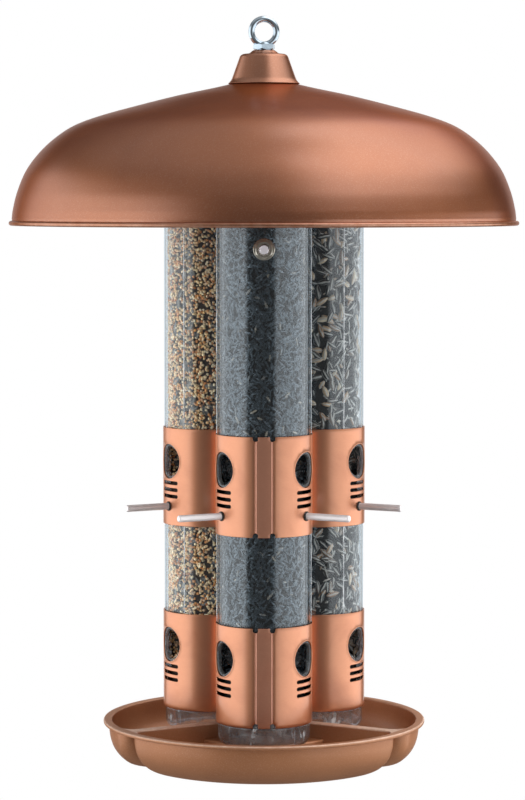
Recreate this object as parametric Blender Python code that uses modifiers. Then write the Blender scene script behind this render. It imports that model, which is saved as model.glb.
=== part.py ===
"""Hanging triple-tube bird feeder with a copper dome cover and a seed tray.

Units are metres, +Z is up, the origin is at the centre of the tray's flat
underside and -Y is the front.  Three clear seed tubes stand on the tray around
a central rod.  The rod carries the dome, its finial and the hanging eye.
"""
import math

import bmesh
import bpy
from mathutils import Matrix, Vector

MM = 0.001

# ---------------------------------------------------------------- dimensions
# All in millimetres.
TUBE_R = 31.75            # 2 1/2 in seed tube, outer radius
TUBE_WALL = 1.8
TUBE_RING_R = 43.1        # tube axes stand on this circle
TUBE_Z0 = 35.8
TUBE_Z1 = 405.0
TUBE_SEGMENTS = 28
AZIMUTHS = {"front": -90.0, "right": 30.0, "left": 150.0}

COLLAR_R_IN = 32.1
SHEET = 0.6               # copper sheet thickness
COLLAR_H = 67.1
COLLAR_Z = {"lower": 35.8, "upper": 163.4}
SEAM_HALF_DEG = 11.5      # half of the gap the seam strip fills
STRIP_HALF_DEG = 10.6

PORT_ANGLES = {"a": -60.0, "b": 60.0}
PORT_R = 11.9
PORT_R_TUBE = 11.5
PORT_Z = {"lower": 80.3, "upper": 207.4}
SLOT_W = 20.0
SLOT_H = 2.3
SLOT_DROPS = (14.8, 19.5, 24.1)   # below the port centre

HOOD_R = 13.2
HOOD_SHEET = 1.0
HOOD_CENTRE = 27.0
HOOD_DROP = 6.5

PERCH_R = 2.35
PERCH_Z = 176.3
PERCH_IN = 24.0
PERCH_OUT = 65.6
PERCH_HOLE_R = 2.7

BASE_R = 31.2
BASE_Z0 = 20.5
BASE_Z1 = 35.5
SPIGOT_R = 29.5
SPIGOT_Z1 = 46.0

SEED_R = 29.5
SEED_Z0 = 46.4
SEED_Z1 = 395.0

STUD_R = 3.1
STUD_Z = 354.5
STUD_IN = 5.9
STUD_OUT = 84.2
REAR_STUD_OUT = 47.0      # the rear stud runs out between the two rear tubes
REAR_WASHER_Y = 38.2
STUD_HOLE_R = 3.45
NUT_AF = 11.1

ROD_R = 3.175
ROD_Z0 = 6.0
ROD_Z1 = 490.5
ROD_HOLE_R = 3.55

RIM_R = 110.7
RIM_Z = 30.3
RIM_DECK = 2.5
LOBE_R = 107.0
# outer profile of a tray compartment, radius against height
LOBE_PROFILE = ((107.0, 28.6), (106.4, 20.0), (103.8, 11.8), (98.2, 5.3),
                (89.5, 1.4), (80.0, 0.0))
LOBE_GAP = 1.5            # half of the groove between two compartments
LOBE_CORNER = 11.0
TRAY_WALL = 2.2
PLATEAU_R = 50.0
PLATEAU_Z = 20.2
PLATEAU_DECK = 2.6

DOME_SHEET = 1.0
# outer profile of the dome, radius against height, down to the rolled bead
DOME_PROFILE = ((3.6, 465.5), (23.4, 465.5), (34.6, 462.9), (60.0, 457.5),
                (92.2, 449.3), (115.0, 442.8), (130.0, 436.9),
                (142.2, 428.9), (153.0, 418.8), (162.0, 406.6),
                (168.0, 392.4), (171.0, 380.5),
                (171.9, 373.4), (173.9, 372.9), (173.9, 369.6))
FINIAL_SHEET = 1.2
FINIAL_PROFILE = ((5.6, 488.7), (7.2, 488.7), (10.3, 486.3), (14.4, 486.0),
                  (16.2, 484.9), (22.8, 466.2))

EYE_RING_R = 8.65
EYE_WIRE_R = 2.15
EYE_Z = 501.1
EYE_TURN = 12.0
EYE_BASE_AF = 13.6
EYE_BASE_Z0 = 489.0
EYE_BASE_Z1 = 492.8
EYE_SHANK_R = 5.2
EYE_SHANK_Z0 = 477.0
EYE_BORE_R = 3.5
EYE_BORE_Z1 = 491.0


# -------------------------------------------------------------- scene set-up
for old in list(bpy.data.objects):
    bpy.data.objects.remove(old, do_unlink=True)

PARTS = bpy.data.collections.new("bird_feeder")
CUTTERS = bpy.data.collections.new("cutters")
for c in (PARTS, CUTTERS):
    bpy.context.scene.collection.children.link(c)


def material(name, colour, roughness, metallic, alpha=1.0):
    m = bpy.data.materials.new(name)
    m.use_nodes = True
    b = m.node_tree.nodes["Principled BSDF"]
    b.inputs["Base Color"].default_value = (*colour, 1.0)
    b.inputs["Roughness"].default_value = roughness
    b.inputs["Metallic"].default_value = metallic
    b.inputs["Alpha"].default_value = alpha
    m.diffuse_color = (*colour, alpha)
    return m


M_DOME = material("copper_paint", (0.36, 0.14, 0.075), 0.36, 0.9)
M_FINIAL = material("copper_paint_finial", (0.36, 0.14, 0.075), 0.36, 0.9)
M_TRAY = material("copper_plastic", (0.38, 0.17, 0.09), 0.42, 0.6)
M_COLLAR = material("satin_copper", (0.72, 0.31, 0.17), 0.24, 1.0)
M_STRIP = material("satin_copper_strip", (0.70, 0.30, 0.16), 0.26, 1.0)
M_TUBE = material("clear_tube", (0.80, 0.84, 0.85), 0.08, 0.0, 0.3)
M_BASE = material("clear_base", (0.62, 0.68, 0.72), 0.12, 0.0, 0.5)
M_HOOD = material("clear_hood", (0.30, 0.30, 0.30), 0.25, 0.0, 0.7)
M_PERCH = material("aluminium", (0.72, 0.72, 0.73), 0.3, 1.0)
M_STEEL = material("zinc_steel", (0.62, 0.60, 0.54), 0.32, 1.0)
M_EYE = material("bright_zinc", (0.72, 0.76, 0.80), 0.12, 1.0)
M_SLEEVE = material("grey_plastic", (0.10, 0.10, 0.11), 0.5, 0.0)
M_SEED = {"left": material("millet_mix", (0.48, 0.30, 0.13), 0.7, 0.0),
          "front": material("nyjer_seed", (0.022, 0.026, 0.034), 0.6, 0.0),
          "right": material("sunflower_seed", (0.11, 0.10, 0.09), 0.65, 0.0)}


# ------------------------------------------------------------------- helpers
def place(obj, where):
    """Move an object to a tube's axis, with +X pointing away from the rod."""
    if where is None:
        return obj
    a = math.radians(AZIMUTHS[where])
    obj.location = (TUBE_RING_R * MM * math.cos(a),
                    TUBE_RING_R * MM * math.sin(a), 0.0)
    obj.rotation_euler = (0.0, 0.0, a)
    return obj


def add_part(name, mesh, mat, where=None):
    obj = bpy.data.objects.new(name, mesh)
    if not mesh.materials:
        mesh.materials.append(mat)
    PARTS.objects.link(obj)
    return place(obj, where)


def add_cutter(name, mesh, where=None):
    obj = bpy.data.objects.new(name, mesh)
    obj.hide_render = True
    obj.display_type = "WIRE"
    CUTTERS.objects.link(obj)
    return place(obj, where)


def finish_mesh(name, bm):
    bmesh.ops.recalc_face_normals(bm, faces=bm.faces)
    me = bpy.data.meshes.new(name)
    bm.to_mesh(me)
    bm.free()
    me.shade_smooth()
    me.set_sharp_from_angle(angle=math.radians(35))
    return me


def cyl(bm, r, p0, p1, segments=24, r2=None, spin=0.0):
    """Cylinder or cone between two points, given in millimetres."""
    a, b = Vector(p0) * MM, Vector(p1) * MM
    d = b - a
    rot = d.to_track_quat("Z", "Y").to_matrix().to_4x4()
    m = Matrix.Translation((a + b) / 2) @ rot @ Matrix.Rotation(spin, 4, "Z")
    bmesh.ops.create_cone(bm, cap_ends=True, segments=segments,
                          radius1=r * MM, radius2=(r if r2 is None else r2) * MM,
                          depth=d.length, matrix=m)


def box(bm, centre, size, turn=0.0):
    m = (Matrix.Rotation(turn, 4, "Z") @ Matrix.Translation(Vector(centre) * MM)
         @ Matrix.Diagonal((size[0] * MM, size[1] * MM, size[2] * MM, 1.0)))
    bmesh.ops.create_cube(bm, size=1.0, matrix=m)


def turned(name, profile, mat, steps=32, closed=False, where=None,
           degrees=360.0, start=0.0, shell=0.0, cutter=False):
    """Turn a profile, given as (radius, height), about the object's Z axis."""
    me = bpy.data.meshes.new(name)
    s, c = math.sin(math.radians(start)), math.cos(math.radians(start))
    pts = [(r * MM * c, r * MM * s, z * MM) for r, z in profile]
    edges = [(i, i + 1) for i in range(len(pts) - 1)]
    if closed:
        edges.append((len(pts) - 1, 0))
    me.from_pydata(pts, edges, [])
    obj = (add_cutter(name, me, where) if cutter
           else add_part(name, me, mat, where))
    sc = obj.modifiers.new("turn", "SCREW")
    sc.axis = "Z"
    sc.angle = math.radians(degrees)
    sc.steps = steps
    sc.render_steps = steps
    sc.screw_offset = 0.0
    sc.use_smooth_shade = True
    sc.use_merge_vertices = True
    sc.merge_threshold = 0.00001
    if shell:
        so = obj.modifiers.new("sheet", "SOLIDIFY")
        so.thickness = shell * MM
        so.offset = -1.0
        so.use_even_offset = True
    return obj


def cut(obj, cutter, op="DIFFERENCE", name="cut"):
    b = obj.modifiers.new(name, "BOOLEAN")
    b.operation = op
    b.object = cutter
    b.solver = "EXACT"
    return b


def radial(angle_deg, r, z):
    a = math.radians(angle_deg)
    return (r * math.cos(a), r * math.sin(a), z)


# ---------------------------------------------------------------------- tray
def lobe_outline(radius, gap, corner, arc_steps=7, corner_steps=3):
    """Rounded 120 degree sector about +X, offset from its two straight sides."""
    v = gap + corner
    u = math.sqrt((radius - corner) ** 2 - v * v)
    phi = math.atan2(v, u)
    side = []
    for i in range(corner_steps + 1):
        t = -math.pi / 2 + (phi + math.pi / 2) * i / corner_steps
        side.append((u + corner * math.cos(t), v + corner * math.sin(t)))
    rot = Matrix.Rotation(math.radians(-60.0), 2)
    low = [rot @ Vector(p) for p in side]
    high = [Vector((p.x, -p.y)) for p in reversed(low)]
    half = math.radians(60.0) - phi
    arc = [Vector((radius * math.cos(t), radius * math.sin(t)))
           for t in [(-half + 2 * half * i / arc_steps)
                     for i in range(1, arc_steps)]]
    apex = [Vector((gap / math.sin(math.radians(60.0)), 0.0))]
    return apex + low + arc + high


def lobe_mesh(name, levels):
    """Loft of sector outlines; each level is (radius, gap, corner, height)."""
    bm = bmesh.new()
    rings = []
    for radius, gap, corner, z in levels:
        rings.append([bm.verts.new((p.x * MM, p.y * MM, z * MM))
                      for p in lobe_outline(radius, gap, corner)])
    for a, b in zip(rings[:-1], rings[1:]):
        for i in range(len(a)):
            j = (i + 1) % len(a)
            bm.faces.new((a[i], a[j], b[j], b[i]))
    bm.faces.new(rings[0])
    bm.faces.new(rings[-1])
    return finish_mesh(name, bm)


def offset_profile(profile, d):
    """Move a profile inwards by d along its normals."""
    out = []
    for i, (r, z) in enumerate(profile):
        a = Vector(profile[max(i - 1, 0)])
        b = Vector(profile[min(i + 1, len(profile) - 1)])
        t = (b - a).normalized()
        n = Vector((t.y, -t.x))
        if n.x > 0:
            n = -n
        out.append((r + n.x * d, z + n.y * d))
    return out


SIDE_DRAFT = 0.45         # side walls lean in less than the outer wall does
outer_levels = [(r, LOBE_GAP + SIDE_DRAFT * (LOBE_R - r), LOBE_CORNER, z)
                for r, z in LOBE_PROFILE]
inner = offset_profile(LOBE_PROFILE, TRAY_WALL)
inner_levels = []
for i, (r, z) in enumerate(inner):
    if i == 0:
        z = RIM_Z + 1.5
    if i == len(inner) - 1:
        z = TRAY_WALL + 0.2
    gap = (LOBE_GAP + TRAY_WALL + 0.2
           + SIDE_DRAFT * max(0.0, LOBE_R - TRAY_WALL - r))
    inner_levels.append((r, gap, LOBE_CORNER - TRAY_WALL, z))

outer_lobe = lobe_mesh("lobe_outer", outer_levels)
inner_lobe = lobe_mesh("lobe_inner", inner_levels)

rz = RIM_Z
tray = turned("tray", [(ROD_HOLE_R, rz), (RIM_R - 1.0, rz), (RIM_R, rz - 0.8),
                       (RIM_R, rz - 1.7), (RIM_R - 1.0, rz - RIM_DECK),
                       (ROD_HOLE_R, rz - RIM_DECK)],
              M_TRAY, steps=48, closed=True)
lobes = []
for key, az in AZIMUTHS.items():
    o = add_cutter("lobe_outer_" + key, outer_lobe)
    o.rotation_euler = (0.0, 0.0, math.radians(az))
    cut(tray, o, "UNION", "lobe_" + key)
plateau = turned("plateau", [(ROD_HOLE_R, PLATEAU_Z), (PLATEAU_R, PLATEAU_Z),
                             (PLATEAU_R, 0.9), (ROD_HOLE_R, 0.9)],
                 None, steps=30, closed=True, cutter=True)
for key, az in AZIMUTHS.items():
    o = add_cutter("lobe_inner_" + key, inner_lobe)
    o.rotation_euler = (0.0, 0.0, math.radians(az))
    cut(tray, o, "DIFFERENCE", "hollow_" + key)
cut(tray, plateau, "UNION", "plateau")
recess_bm = bmesh.new()
cyl(recess_bm, PLATEAU_R - TRAY_WALL, (0, 0, -2), (0, 0, PLATEAU_Z - PLATEAU_DECK),
    30)
recess = add_cutter("recess", finish_mesh("recess", recess_bm))
cut(tray, recess, "DIFFERENCE", "recess")
hole_bm = bmesh.new()
cyl(hole_bm, ROD_HOLE_R, (0, 0, -3), (0, 0, RIM_Z + 4), 16)
hole = add_cutter("rod_hole", finish_mesh("rod_hole", hole_bm))
cut(tray, hole, "DIFFERENCE", "rod_hole")

# ------------------------------------------------------- central rod and hub
bm = bmesh.new()
cyl(bm, ROD_R, (0, 0, ROD_Z0), (0, 0, ROD_Z1), 16)
add_part("centre_rod", finish_mesh("centre_rod", bm), M_STEEL)


def ring(name, r_out, r_in, z0, z1, mat, steps=24):
    return turned(name, [(r_out, z1), (r_out, z0), (r_in, z0), (r_in, z1)],
                  mat, steps=steps, closed=True)


def hex_nut(name, af, z0, z1, bore, mat):
    bm = bmesh.new()
    cyl(bm, af / 2 / math.cos(math.pi / 6), (0, 0, z0), (0, 0, z1), 6)
    obj = add_part(name, finish_mesh(name, bm), mat)
    bm = bmesh.new()
    cyl(bm, bore, (0, 0, z0 - 2), (0, 0, z1 + 2), 12)
    cut(obj, add_cutter(name + "_bore", finish_mesh(name + "_bore", bm)),
        name="bore")
    return obj


ring("tray_washer", 12.0, 3.55, 15.6, 17.2, M_STEEL, 16)
hex_nut("tray_nut", NUT_AF, 9.8, 15.2, 3.5, M_STEEL)
ring("support_washer", 12.0, 3.55, 462.5, 464.1, M_STEEL, 16)
hex_nut("support_nut", NUT_AF, 456.8, 462.1, 3.5, M_STEEL)

sleeve = ring("hub_sleeve", 10.9, 3.55, 344.0, 365.0, M_SLEEVE, 20)
bm = bmesh.new()
for az in (-90.0, 90.0):
    cyl(bm, STUD_HOLE_R, radial(az, 5.4, STUD_Z), radial(az, 13.0, STUD_Z), 12)
cut(sleeve, add_cutter("sleeve_holes", finish_mesh("sleeve_holes", bm)),
    name="stud_holes")

# ------------------------------------------------- shared seed tube cutters
TUBE_CUTS = {}
for key in AZIMUTHS:
    bm = bmesh.new()
    for lv, z in PORT_Z.items():
        for ang in PORT_ANGLES.values():
            cyl(bm, PORT_R_TUBE, radial(ang, 20, z), radial(ang, 38, z), 12)
    for ang in PORT_ANGLES.values():
        cyl(bm, PERCH_HOLE_R, radial(ang, 20, PERCH_Z),
            radial(ang, 38, PERCH_Z), 10)
    if key == "front":
        cyl(bm, STUD_HOLE_R, (-36, 0, STUD_Z), (36, 0, STUD_Z), 12)
    TUBE_CUTS[key] = finish_mesh("tube_cuts_" + key, bm)

COLLAR_CUTS = {}
for lv, z in PORT_Z.items():
    bm = bmesh.new()
    for ang in PORT_ANGLES.values():
        cyl(bm, PORT_R, radial(ang, 22, z), radial(ang, 40, z), 12)
        for drop in SLOT_DROPS:
            box(bm, (31.8, 0, z - drop), (8.0, SLOT_W, SLOT_H),
                turn=math.radians(ang))
        if lv == "upper":
            cyl(bm, PERCH_HOLE_R, radial(ang, 24, PERCH_Z),
                radial(ang, 40, PERCH_Z), 10)
    COLLAR_CUTS[lv] = finish_mesh("collar_cuts_" + lv, bm)

SEED_CUTS = {}
for key in AZIMUTHS:
    bm = bmesh.new()
    for lv, z in PORT_Z.items():
        for ang in PORT_ANGLES.values():
            cyl(bm, 14.4, radial(ang, 13.2, z), radial(ang, 36, z), 12)
    for ang in PORT_ANGLES.values():
        cyl(bm, 3.0, radial(ang, 22.5, PERCH_Z), radial(ang, 34, PERCH_Z), 8)
    if key == "front":
        cyl(bm, 3.6, (-34, 0, STUD_Z), (34, 0, STUD_Z), 10)
    SEED_CUTS[key] = finish_mesh("seed_cuts_" + key, bm)

# ------------------------------------------------------- one tube at a time
for key, az in AZIMUTHS.items():
    # clear seed tube
    ro, ri = TUBE_R, TUBE_R - TUBE_WALL
    tube = turned("tube_" + key, [(ro, TUBE_Z1), (ro, TUBE_Z0), (ri, TUBE_Z0),
                                  (ri, TUBE_Z1)], M_TUBE, steps=TUBE_SEGMENTS,
                  closed=True, where=key)
    cut(tube, add_cutter("tube_cuts_" + key, TUBE_CUTS[key], key), name="holes")

    # base plug: a flange under the tube, a spigot inside it, hollow below
    turned("tube_base_" + key,
           [(0.0, SPIGOT_Z1), (SPIGOT_R, SPIGOT_Z1), (SPIGOT_R, BASE_Z1),
            (BASE_R, BASE_Z1), (BASE_R, 25.4), (29.8, 22.2), (26.8, BASE_Z0),
            (24.0, BASE_Z0), (24.0, 40.0), (0.0, 40.0)],
           M_BASE, steps=TUBE_SEGMENTS, where=key)

    # copper collars, open at the seam strip, which closes them
    for lv, z0 in COLLAR_Z.items():
        collar = turned("collar_%s_%s" % (lv, key),
                        [(COLLAR_R_IN + SHEET, z0 + COLLAR_H),
                         (COLLAR_R_IN + SHEET, z0)], M_COLLAR, steps=26,
                        where=key, degrees=360.0 - 2 * SEAM_HALF_DEG,
                        start=SEAM_HALF_DEG, shell=SHEET)
        cut(collar, add_cutter("collar_cuts_%s_%s" % (lv, key),
                               COLLAR_CUTS[lv], key), name="openings")
        turned("seam_strip_%s_%s" % (lv, key),
               [(COLLAR_R_IN + SHEET, z0 + COLLAR_H),
                (COLLAR_R_IN + SHEET, z0)], M_STRIP, steps=2, where=key,
               degrees=2 * STRIP_HALF_DEG, start=-STRIP_HALF_DEG, shell=SHEET)

    # hoods that keep the seed back inside each port
    for lv, z in PORT_Z.items():
        for side, ang in PORT_ANGLES.items():
            prof = []
            low = math.acos(-HOOD_DROP / HOOD_R)
            for i in range(5):
                t = low * i / 4
                prof.append((HOOD_R * math.sin(t), HOOD_R * math.cos(t)))
            hood = turned("port_baffle_%s_%s_%s" % (lv, key, side), prof,
                          M_HOOD, steps=10, shell=HOOD_SHEET)
            a = math.radians(az + ang)
            cx, cy = [TUBE_RING_R * f(math.radians(az))
                      for f in (math.cos, math.sin)]
            hood.location = ((cx + HOOD_CENTRE * math.cos(a)) * MM,
                             (cy + HOOD_CENTRE * math.sin(a)) * MM, z * MM)
            hood.rotation_euler = (0.0, 0.0, a)
            bm = bmesh.new()
            cyl(bm, SEED_R, (0, 0, z - 30), (0, 0, z + 30), 24)
            inside = add_cutter("inside_%s_%s_%s" % (lv, key, side),
                                finish_mesh("inside", bm), key)
            cut(hood, inside, "INTERSECT", "inside_of_tube")

    # seed in the tube
    bm = bmesh.new()
    cyl(bm, SEED_R, (0, 0, SEED_Z0), (0, 0, SEED_Z1), 24)
    seed = add_part("seed_fill_" + key, finish_mesh("seed_fill", bm),
                    M_SEED[key], key)
    cut(seed, add_cutter("seed_cuts_" + key, SEED_CUTS[key], key), name="clearances")

    # perches, pushed through collar and tube under each upper port
    for side, ang in PORT_ANGLES.items():
        bm = bmesh.new()
        cyl(bm, PERCH_R, (PERCH_IN, 0, 0), (PERCH_OUT, 0, 0), 10)
        tip = [v for v in bm.verts if v.co.x > (PERCH_OUT - 1.0) * MM]
        rim = [e for e in bm.edges if all(v in tip for v in e.verts)]
        bmesh.ops.bevel(bm, geom=rim, offset=0.6 * MM, segments=1,
                        affect="EDGES")
        perch = add_part("perch_%s_%s" % (key, side),
                         finish_mesh("perch", bm), M_PERCH)
        a = math.radians(az + ang)
        cx, cy = [TUBE_RING_R * f(math.radians(az))
                  for f in (math.cos, math.sin)]
        perch.location = (cx * MM, cy * MM, PERCH_Z * MM)
        perch.rotation_euler = (0.0, 0.0, a)

# studs out of the hub sleeve: the front one passes through the front tube, the
# rear one between the two rear tubes, where its wide washer bears on both
for key, az, out, seat, washer_r in (
        ("front", -90.0, STUD_OUT, TUBE_RING_R + TUBE_R + 0.3, 7.2),
        ("rear", 90.0, REAR_STUD_OUT, REAR_WASHER_Y, 10.5)):
    bm = bmesh.new()
    cyl(bm, STUD_R, (STUD_IN, 0, 0), (out, 0, 0), 12)
    stud = add_part("tie_stud_" + key, finish_mesh("tie_stud", bm), M_STEEL)
    stud.location = (0, 0, STUD_Z * MM)
    stud.rotation_euler = (0, 0, math.radians(az))

    washer = turned("tie_washer_" + key,
                    [(washer_r, 1.2), (washer_r, 0.0), (3.45, 0.0),
                     (3.45, 1.2)], M_STEEL, steps=16, closed=True)
    nut_bm = bmesh.new()
    cyl(nut_bm, NUT_AF / 2 / math.cos(math.pi / 6), (0, 0, 0), (0, 0, 5.0), 6)
    nut = add_part("tie_nut_" + key, finish_mesh("tie_nut", nut_bm), M_STEEL)
    bore_bm = bmesh.new()
    cyl(bore_bm, 3.45, (0, 0, -2), (0, 0, 7), 12)
    bore = add_cutter("tie_nut_bore_" + key, finish_mesh("tie_bore", bore_bm))
    for o, r in ((washer, seat), (nut, seat + 1.5), (bore, seat + 1.5)):
        o.location = Vector(radial(az, r, STUD_Z)) * MM
        o.rotation_euler = (math.radians(90.0 if az < 0 else -90.0), 0.0, 0.0)
    cut(nut, bore, name="bore")

# ------------------------------------------------------------ cover and eye
turned("dome", DOME_PROFILE, M_DOME, steps=36, shell=DOME_SHEET)
turned("finial", FINIAL_PROFILE, M_FINIAL, steps=24, shell=FINIAL_SHEET)

shank = turned("eye_shank", [(0.0, EYE_BASE_Z1), (EYE_SHANK_R, EYE_BASE_Z1),
                             (EYE_SHANK_R, EYE_SHANK_Z0), (0.0, EYE_SHANK_Z0)],
               None, steps=16, cutter=True)
bm = bmesh.new()
cyl(bm, EYE_BASE_AF / 2 / math.cos(math.pi / 6), (0, 0, EYE_BASE_Z0),
    (0, 0, EYE_BASE_Z1), 6, spin=math.radians(EYE_TURN))
eye = add_part("eye_nut", finish_mesh("eye_nut", bm), M_EYE)
cut(eye, shank, "UNION", "shank")
bpy.ops.mesh.primitive_torus_add(major_segments=24, minor_segments=8,
                                 major_radius=EYE_RING_R * MM,
                                 minor_radius=EYE_WIRE_R * MM)
torus = bpy.context.active_object
torus.name = "eye_ring"
for c in list(torus.users_collection):
    c.objects.unlink(torus)
CUTTERS.objects.link(torus)
torus.hide_render = True
torus.display_type = "WIRE"
torus.location = (0, 0, EYE_Z * MM)
torus.rotation_euler = (math.radians(90.0), 0.0, math.radians(EYE_TURN))
cut(eye, torus, "UNION", "ring")
bm = bmesh.new()
cyl(bm, EYE_BORE_R, (0, 0, EYE_SHANK_Z0 - 3), (0, 0, EYE_BORE_Z1), 16)
cut(eye, add_cutter("eye_bore", finish_mesh("eye_bore", bm)), name="bore")
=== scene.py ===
"""Looks of the hanging triple-tube bird feeder: copper dome, seed tubes, tray."""
import math

import bmesh
import bpy
import numpy as np
from mathutils import Matrix, Vector
from mathutils.geometry import delaunay_2d_cdt


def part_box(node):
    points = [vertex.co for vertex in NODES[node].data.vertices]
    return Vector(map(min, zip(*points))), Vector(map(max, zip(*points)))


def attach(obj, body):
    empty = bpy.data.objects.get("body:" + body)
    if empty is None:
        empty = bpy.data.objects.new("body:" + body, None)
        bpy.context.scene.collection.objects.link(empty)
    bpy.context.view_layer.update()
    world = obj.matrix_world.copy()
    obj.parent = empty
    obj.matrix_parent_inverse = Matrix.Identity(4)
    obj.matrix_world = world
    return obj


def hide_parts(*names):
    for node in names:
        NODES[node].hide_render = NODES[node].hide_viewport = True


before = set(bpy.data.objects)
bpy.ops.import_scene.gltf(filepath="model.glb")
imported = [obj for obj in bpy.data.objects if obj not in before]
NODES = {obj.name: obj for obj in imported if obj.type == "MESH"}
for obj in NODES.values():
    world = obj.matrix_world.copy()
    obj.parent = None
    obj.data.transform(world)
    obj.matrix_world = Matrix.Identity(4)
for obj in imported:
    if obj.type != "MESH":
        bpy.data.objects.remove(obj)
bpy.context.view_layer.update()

MM = 0.001
COL = bpy.context.scene.collection


# --------------------------------------------------------------- places (mm)
def lo(node):
    return [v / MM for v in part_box(node)[0]]


def hi(node):
    return [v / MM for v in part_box(node)[1]]


TUBES = ("front", "right", "left")
AXIS = {}
TURN = {}
for k in TUBES:
    a, b = lo("tube_" + k), hi("tube_" + k)
    AXIS[k] = ((a[0] + b[0]) / 2, (a[1] + b[1]) / 2)
    TURN[k] = math.atan2(AXIS[k][1], AXIS[k][0])
TUBE_R = (hi("tube_front")[0] - lo("tube_front")[0]) / 2
TUBE_WALL = 1.8
TUBE_Z0, TUBE_Z1 = lo("tube_front")[2], hi("tube_front")[2]
COLLAR_R = 32.7
SHEET = 0.6
COLLAR_SPAN = {lv: (lo("collar_%s_front" % lv)[2], hi("collar_%s_front" % lv)[2])
               for lv in ("lower", "upper")}
PORT_Z = {"lower": 80.3, "upper": 207.4}
PORT_DEG = {"a": -60.0, "b": 60.0}
PORT_R = 11.9
SLOT_DROPS = (14.8, 19.5, 24.1)
SLOT_W, SLOT_H = 20.0, 2.3
PERCH_Z = (lo("perch_front_a")[2] + hi("perch_front_a")[2]) / 2
SEAM = math.radians(11.5) * COLLAR_R
DOME_TOP, DOME_LOW, DOME_R = hi("dome")[2], lo("dome")[2], hi("dome")[0]
RIM_Z, RIM_R = hi("tray")[2], hi("tray")[0]


# ------------------------------------------------------------- mesh helpers
def obj_from(name, verts, faces, body="root", mat=None, where=None,
             smooth=True, angle=None, uvs=None):
    me = bpy.data.meshes.new(name)
    me.from_pydata([tuple(v) for v in verts], [], [tuple(f) for f in faces])
    return obj_of(name, me, body, mat, where, smooth, angle)


def obj_of(name, me, body="root", mat=None, where=None, smooth=True, angle=None):
    if smooth:
        me.shade_smooth()
        if angle:
            me.set_sharp_from_angle(angle=math.radians(angle))
    o = bpy.data.objects.new(name, me)
    COL.objects.link(o)
    if mat and not me.materials:
        me.materials.append(mat)
    if where is not None:
        o.location = (AXIS[where][0] * MM, AXIS[where][1] * MM, 0)
        o.rotation_euler = (0, 0, TURN[where])
    if body:
        bpy.context.view_layer.update()
        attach(o, body)
    return o


def spline(points, n=6, tension=0.5):
    """Smooth curve through points, n steps between each two."""
    p = [np.array(q, float) for q in points]
    out = []
    for i in range(len(p) - 1):
        a, b, c, d = p[max(i - 1, 0)], p[i], p[i + 1], p[min(i + 2, len(p) - 1)]
        la = max(np.linalg.norm(b - a), 1e-9)
        lb = max(np.linalg.norm(c - b), 1e-9)
        lc = max(np.linalg.norm(d - c), 1e-9)
        m1 = (c - a) / (la + lb) * lb * 2 * tension
        m2 = (d - b) / (lb + lc) * lb * 2 * tension
        for k in range(n):
            t = k / n
            out.append((2 * t ** 3 - 3 * t * t + 1) * b + (t ** 3 - 2 * t * t + t) * m1
                       + (-2 * t ** 3 + 3 * t * t) * c + (t ** 3 - t * t) * m2)
    out.append(p[-1])
    return [(float(q[0]), float(q[1])) for q in out]


def round_corners(points, r, n=5):
    """Polyline with each inner corner rounded with radius about r."""
    out = [points[0]]
    for i in range(1, len(points) - 1):
        p0, p1, p2 = [np.array(points[j], float) for j in (i - 1, i, i + 1)]
        d0, d1 = p0 - p1, p2 - p1
        l0, l1 = np.linalg.norm(d0), np.linalg.norm(d1)
        rr = r[i] if isinstance(r, (list, tuple)) else r
        c = min(rr, l0 * 0.48, l1 * 0.48)
        if c < 1e-4:
            out.append(tuple(p1))
            continue
        a, b = p1 + d0 / l0 * c, p1 + d1 / l1 * c
        for k in range(n + 1):
            t = k / n
            q = (1 - t) ** 2 * a + 2 * t * (1 - t) * p1 + t * t * b
            out.append((float(q[0]), float(q[1])))
    out.append(points[-1])
    return out


def lathe(profile, steps=96, closed=False, matrix=None):
    """Vertices and faces of a profile (radius, height in mm) turned about Z."""
    pts = [(max(r, 0.0), z) for r, z in profile]
    verts, faces, rows = [], [], []
    for r, z in pts:
        if r < 1e-6:
            rows.append([len(verts)])
            verts.append((0.0, 0.0, z * MM))
        else:
            rows.append(list(range(len(verts), len(verts) + steps)))
            for k in range(steps):
                a = 2 * math.pi * k / steps
                verts.append((r * math.cos(a) * MM, r * math.sin(a) * MM, z * MM))
    pairs = list(zip(rows[:-1], rows[1:]))
    if closed:
        pairs.append((rows[-1], rows[0]))
    for a, b in pairs:
        for k in range(steps):
            k2 = (k + 1) % steps
            if len(a) == 1 and len(b) == 1:
                continue
            if len(a) == 1:
                faces.append((a[0], b[k], b[k2]))
            elif len(b) == 1:
                faces.append((a[k], b[0], a[k2]))
            else:
                faces.append((a[k], b[k], b[k2], a[k2]))
    if matrix is not None:
        verts = [tuple(matrix @ Vector(v)) for v in verts]
    return verts, faces


def fixed(verts, faces, name):
    """Mesh with outward normals."""
    me = bpy.data.meshes.new(name)
    me.from_pydata([tuple(v) for v in verts], [], [tuple(f) for f in faces])
    bm = bmesh.new()
    bm.from_mesh(me)
    bmesh.ops.remove_doubles(bm, verts=bm.verts, dist=2e-6)
    bmesh.ops.recalc_face_normals(bm, faces=bm.faces)
    bm.to_mesh(me)
    bm.free()
    return me


def turned(name, profile, mat, body="root", steps=96, closed=False, where=None,
           angle=40.0, matrix=None):
    v, f = lathe(profile, steps, closed, matrix)
    return obj_of(name, fixed(v, f, name), body, mat, where, True, angle)


def cylinder_mesh(name, r, p0, p1, n=32):
    bm = bmesh.new()
    a, b = Vector(p0) * MM, Vector(p1) * MM
    d = b - a
    m = Matrix.Translation((a + b) / 2) @ d.to_track_quat("Z", "Y").to_matrix().to_4x4()
    bmesh.ops.create_cone(bm, cap_ends=True, segments=n, radius1=r * MM,
                          radius2=r * MM, depth=d.length, matrix=m)
    me = bpy.data.meshes.new(name)
    bm.to_mesh(me)
    bm.free()
    return me


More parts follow.
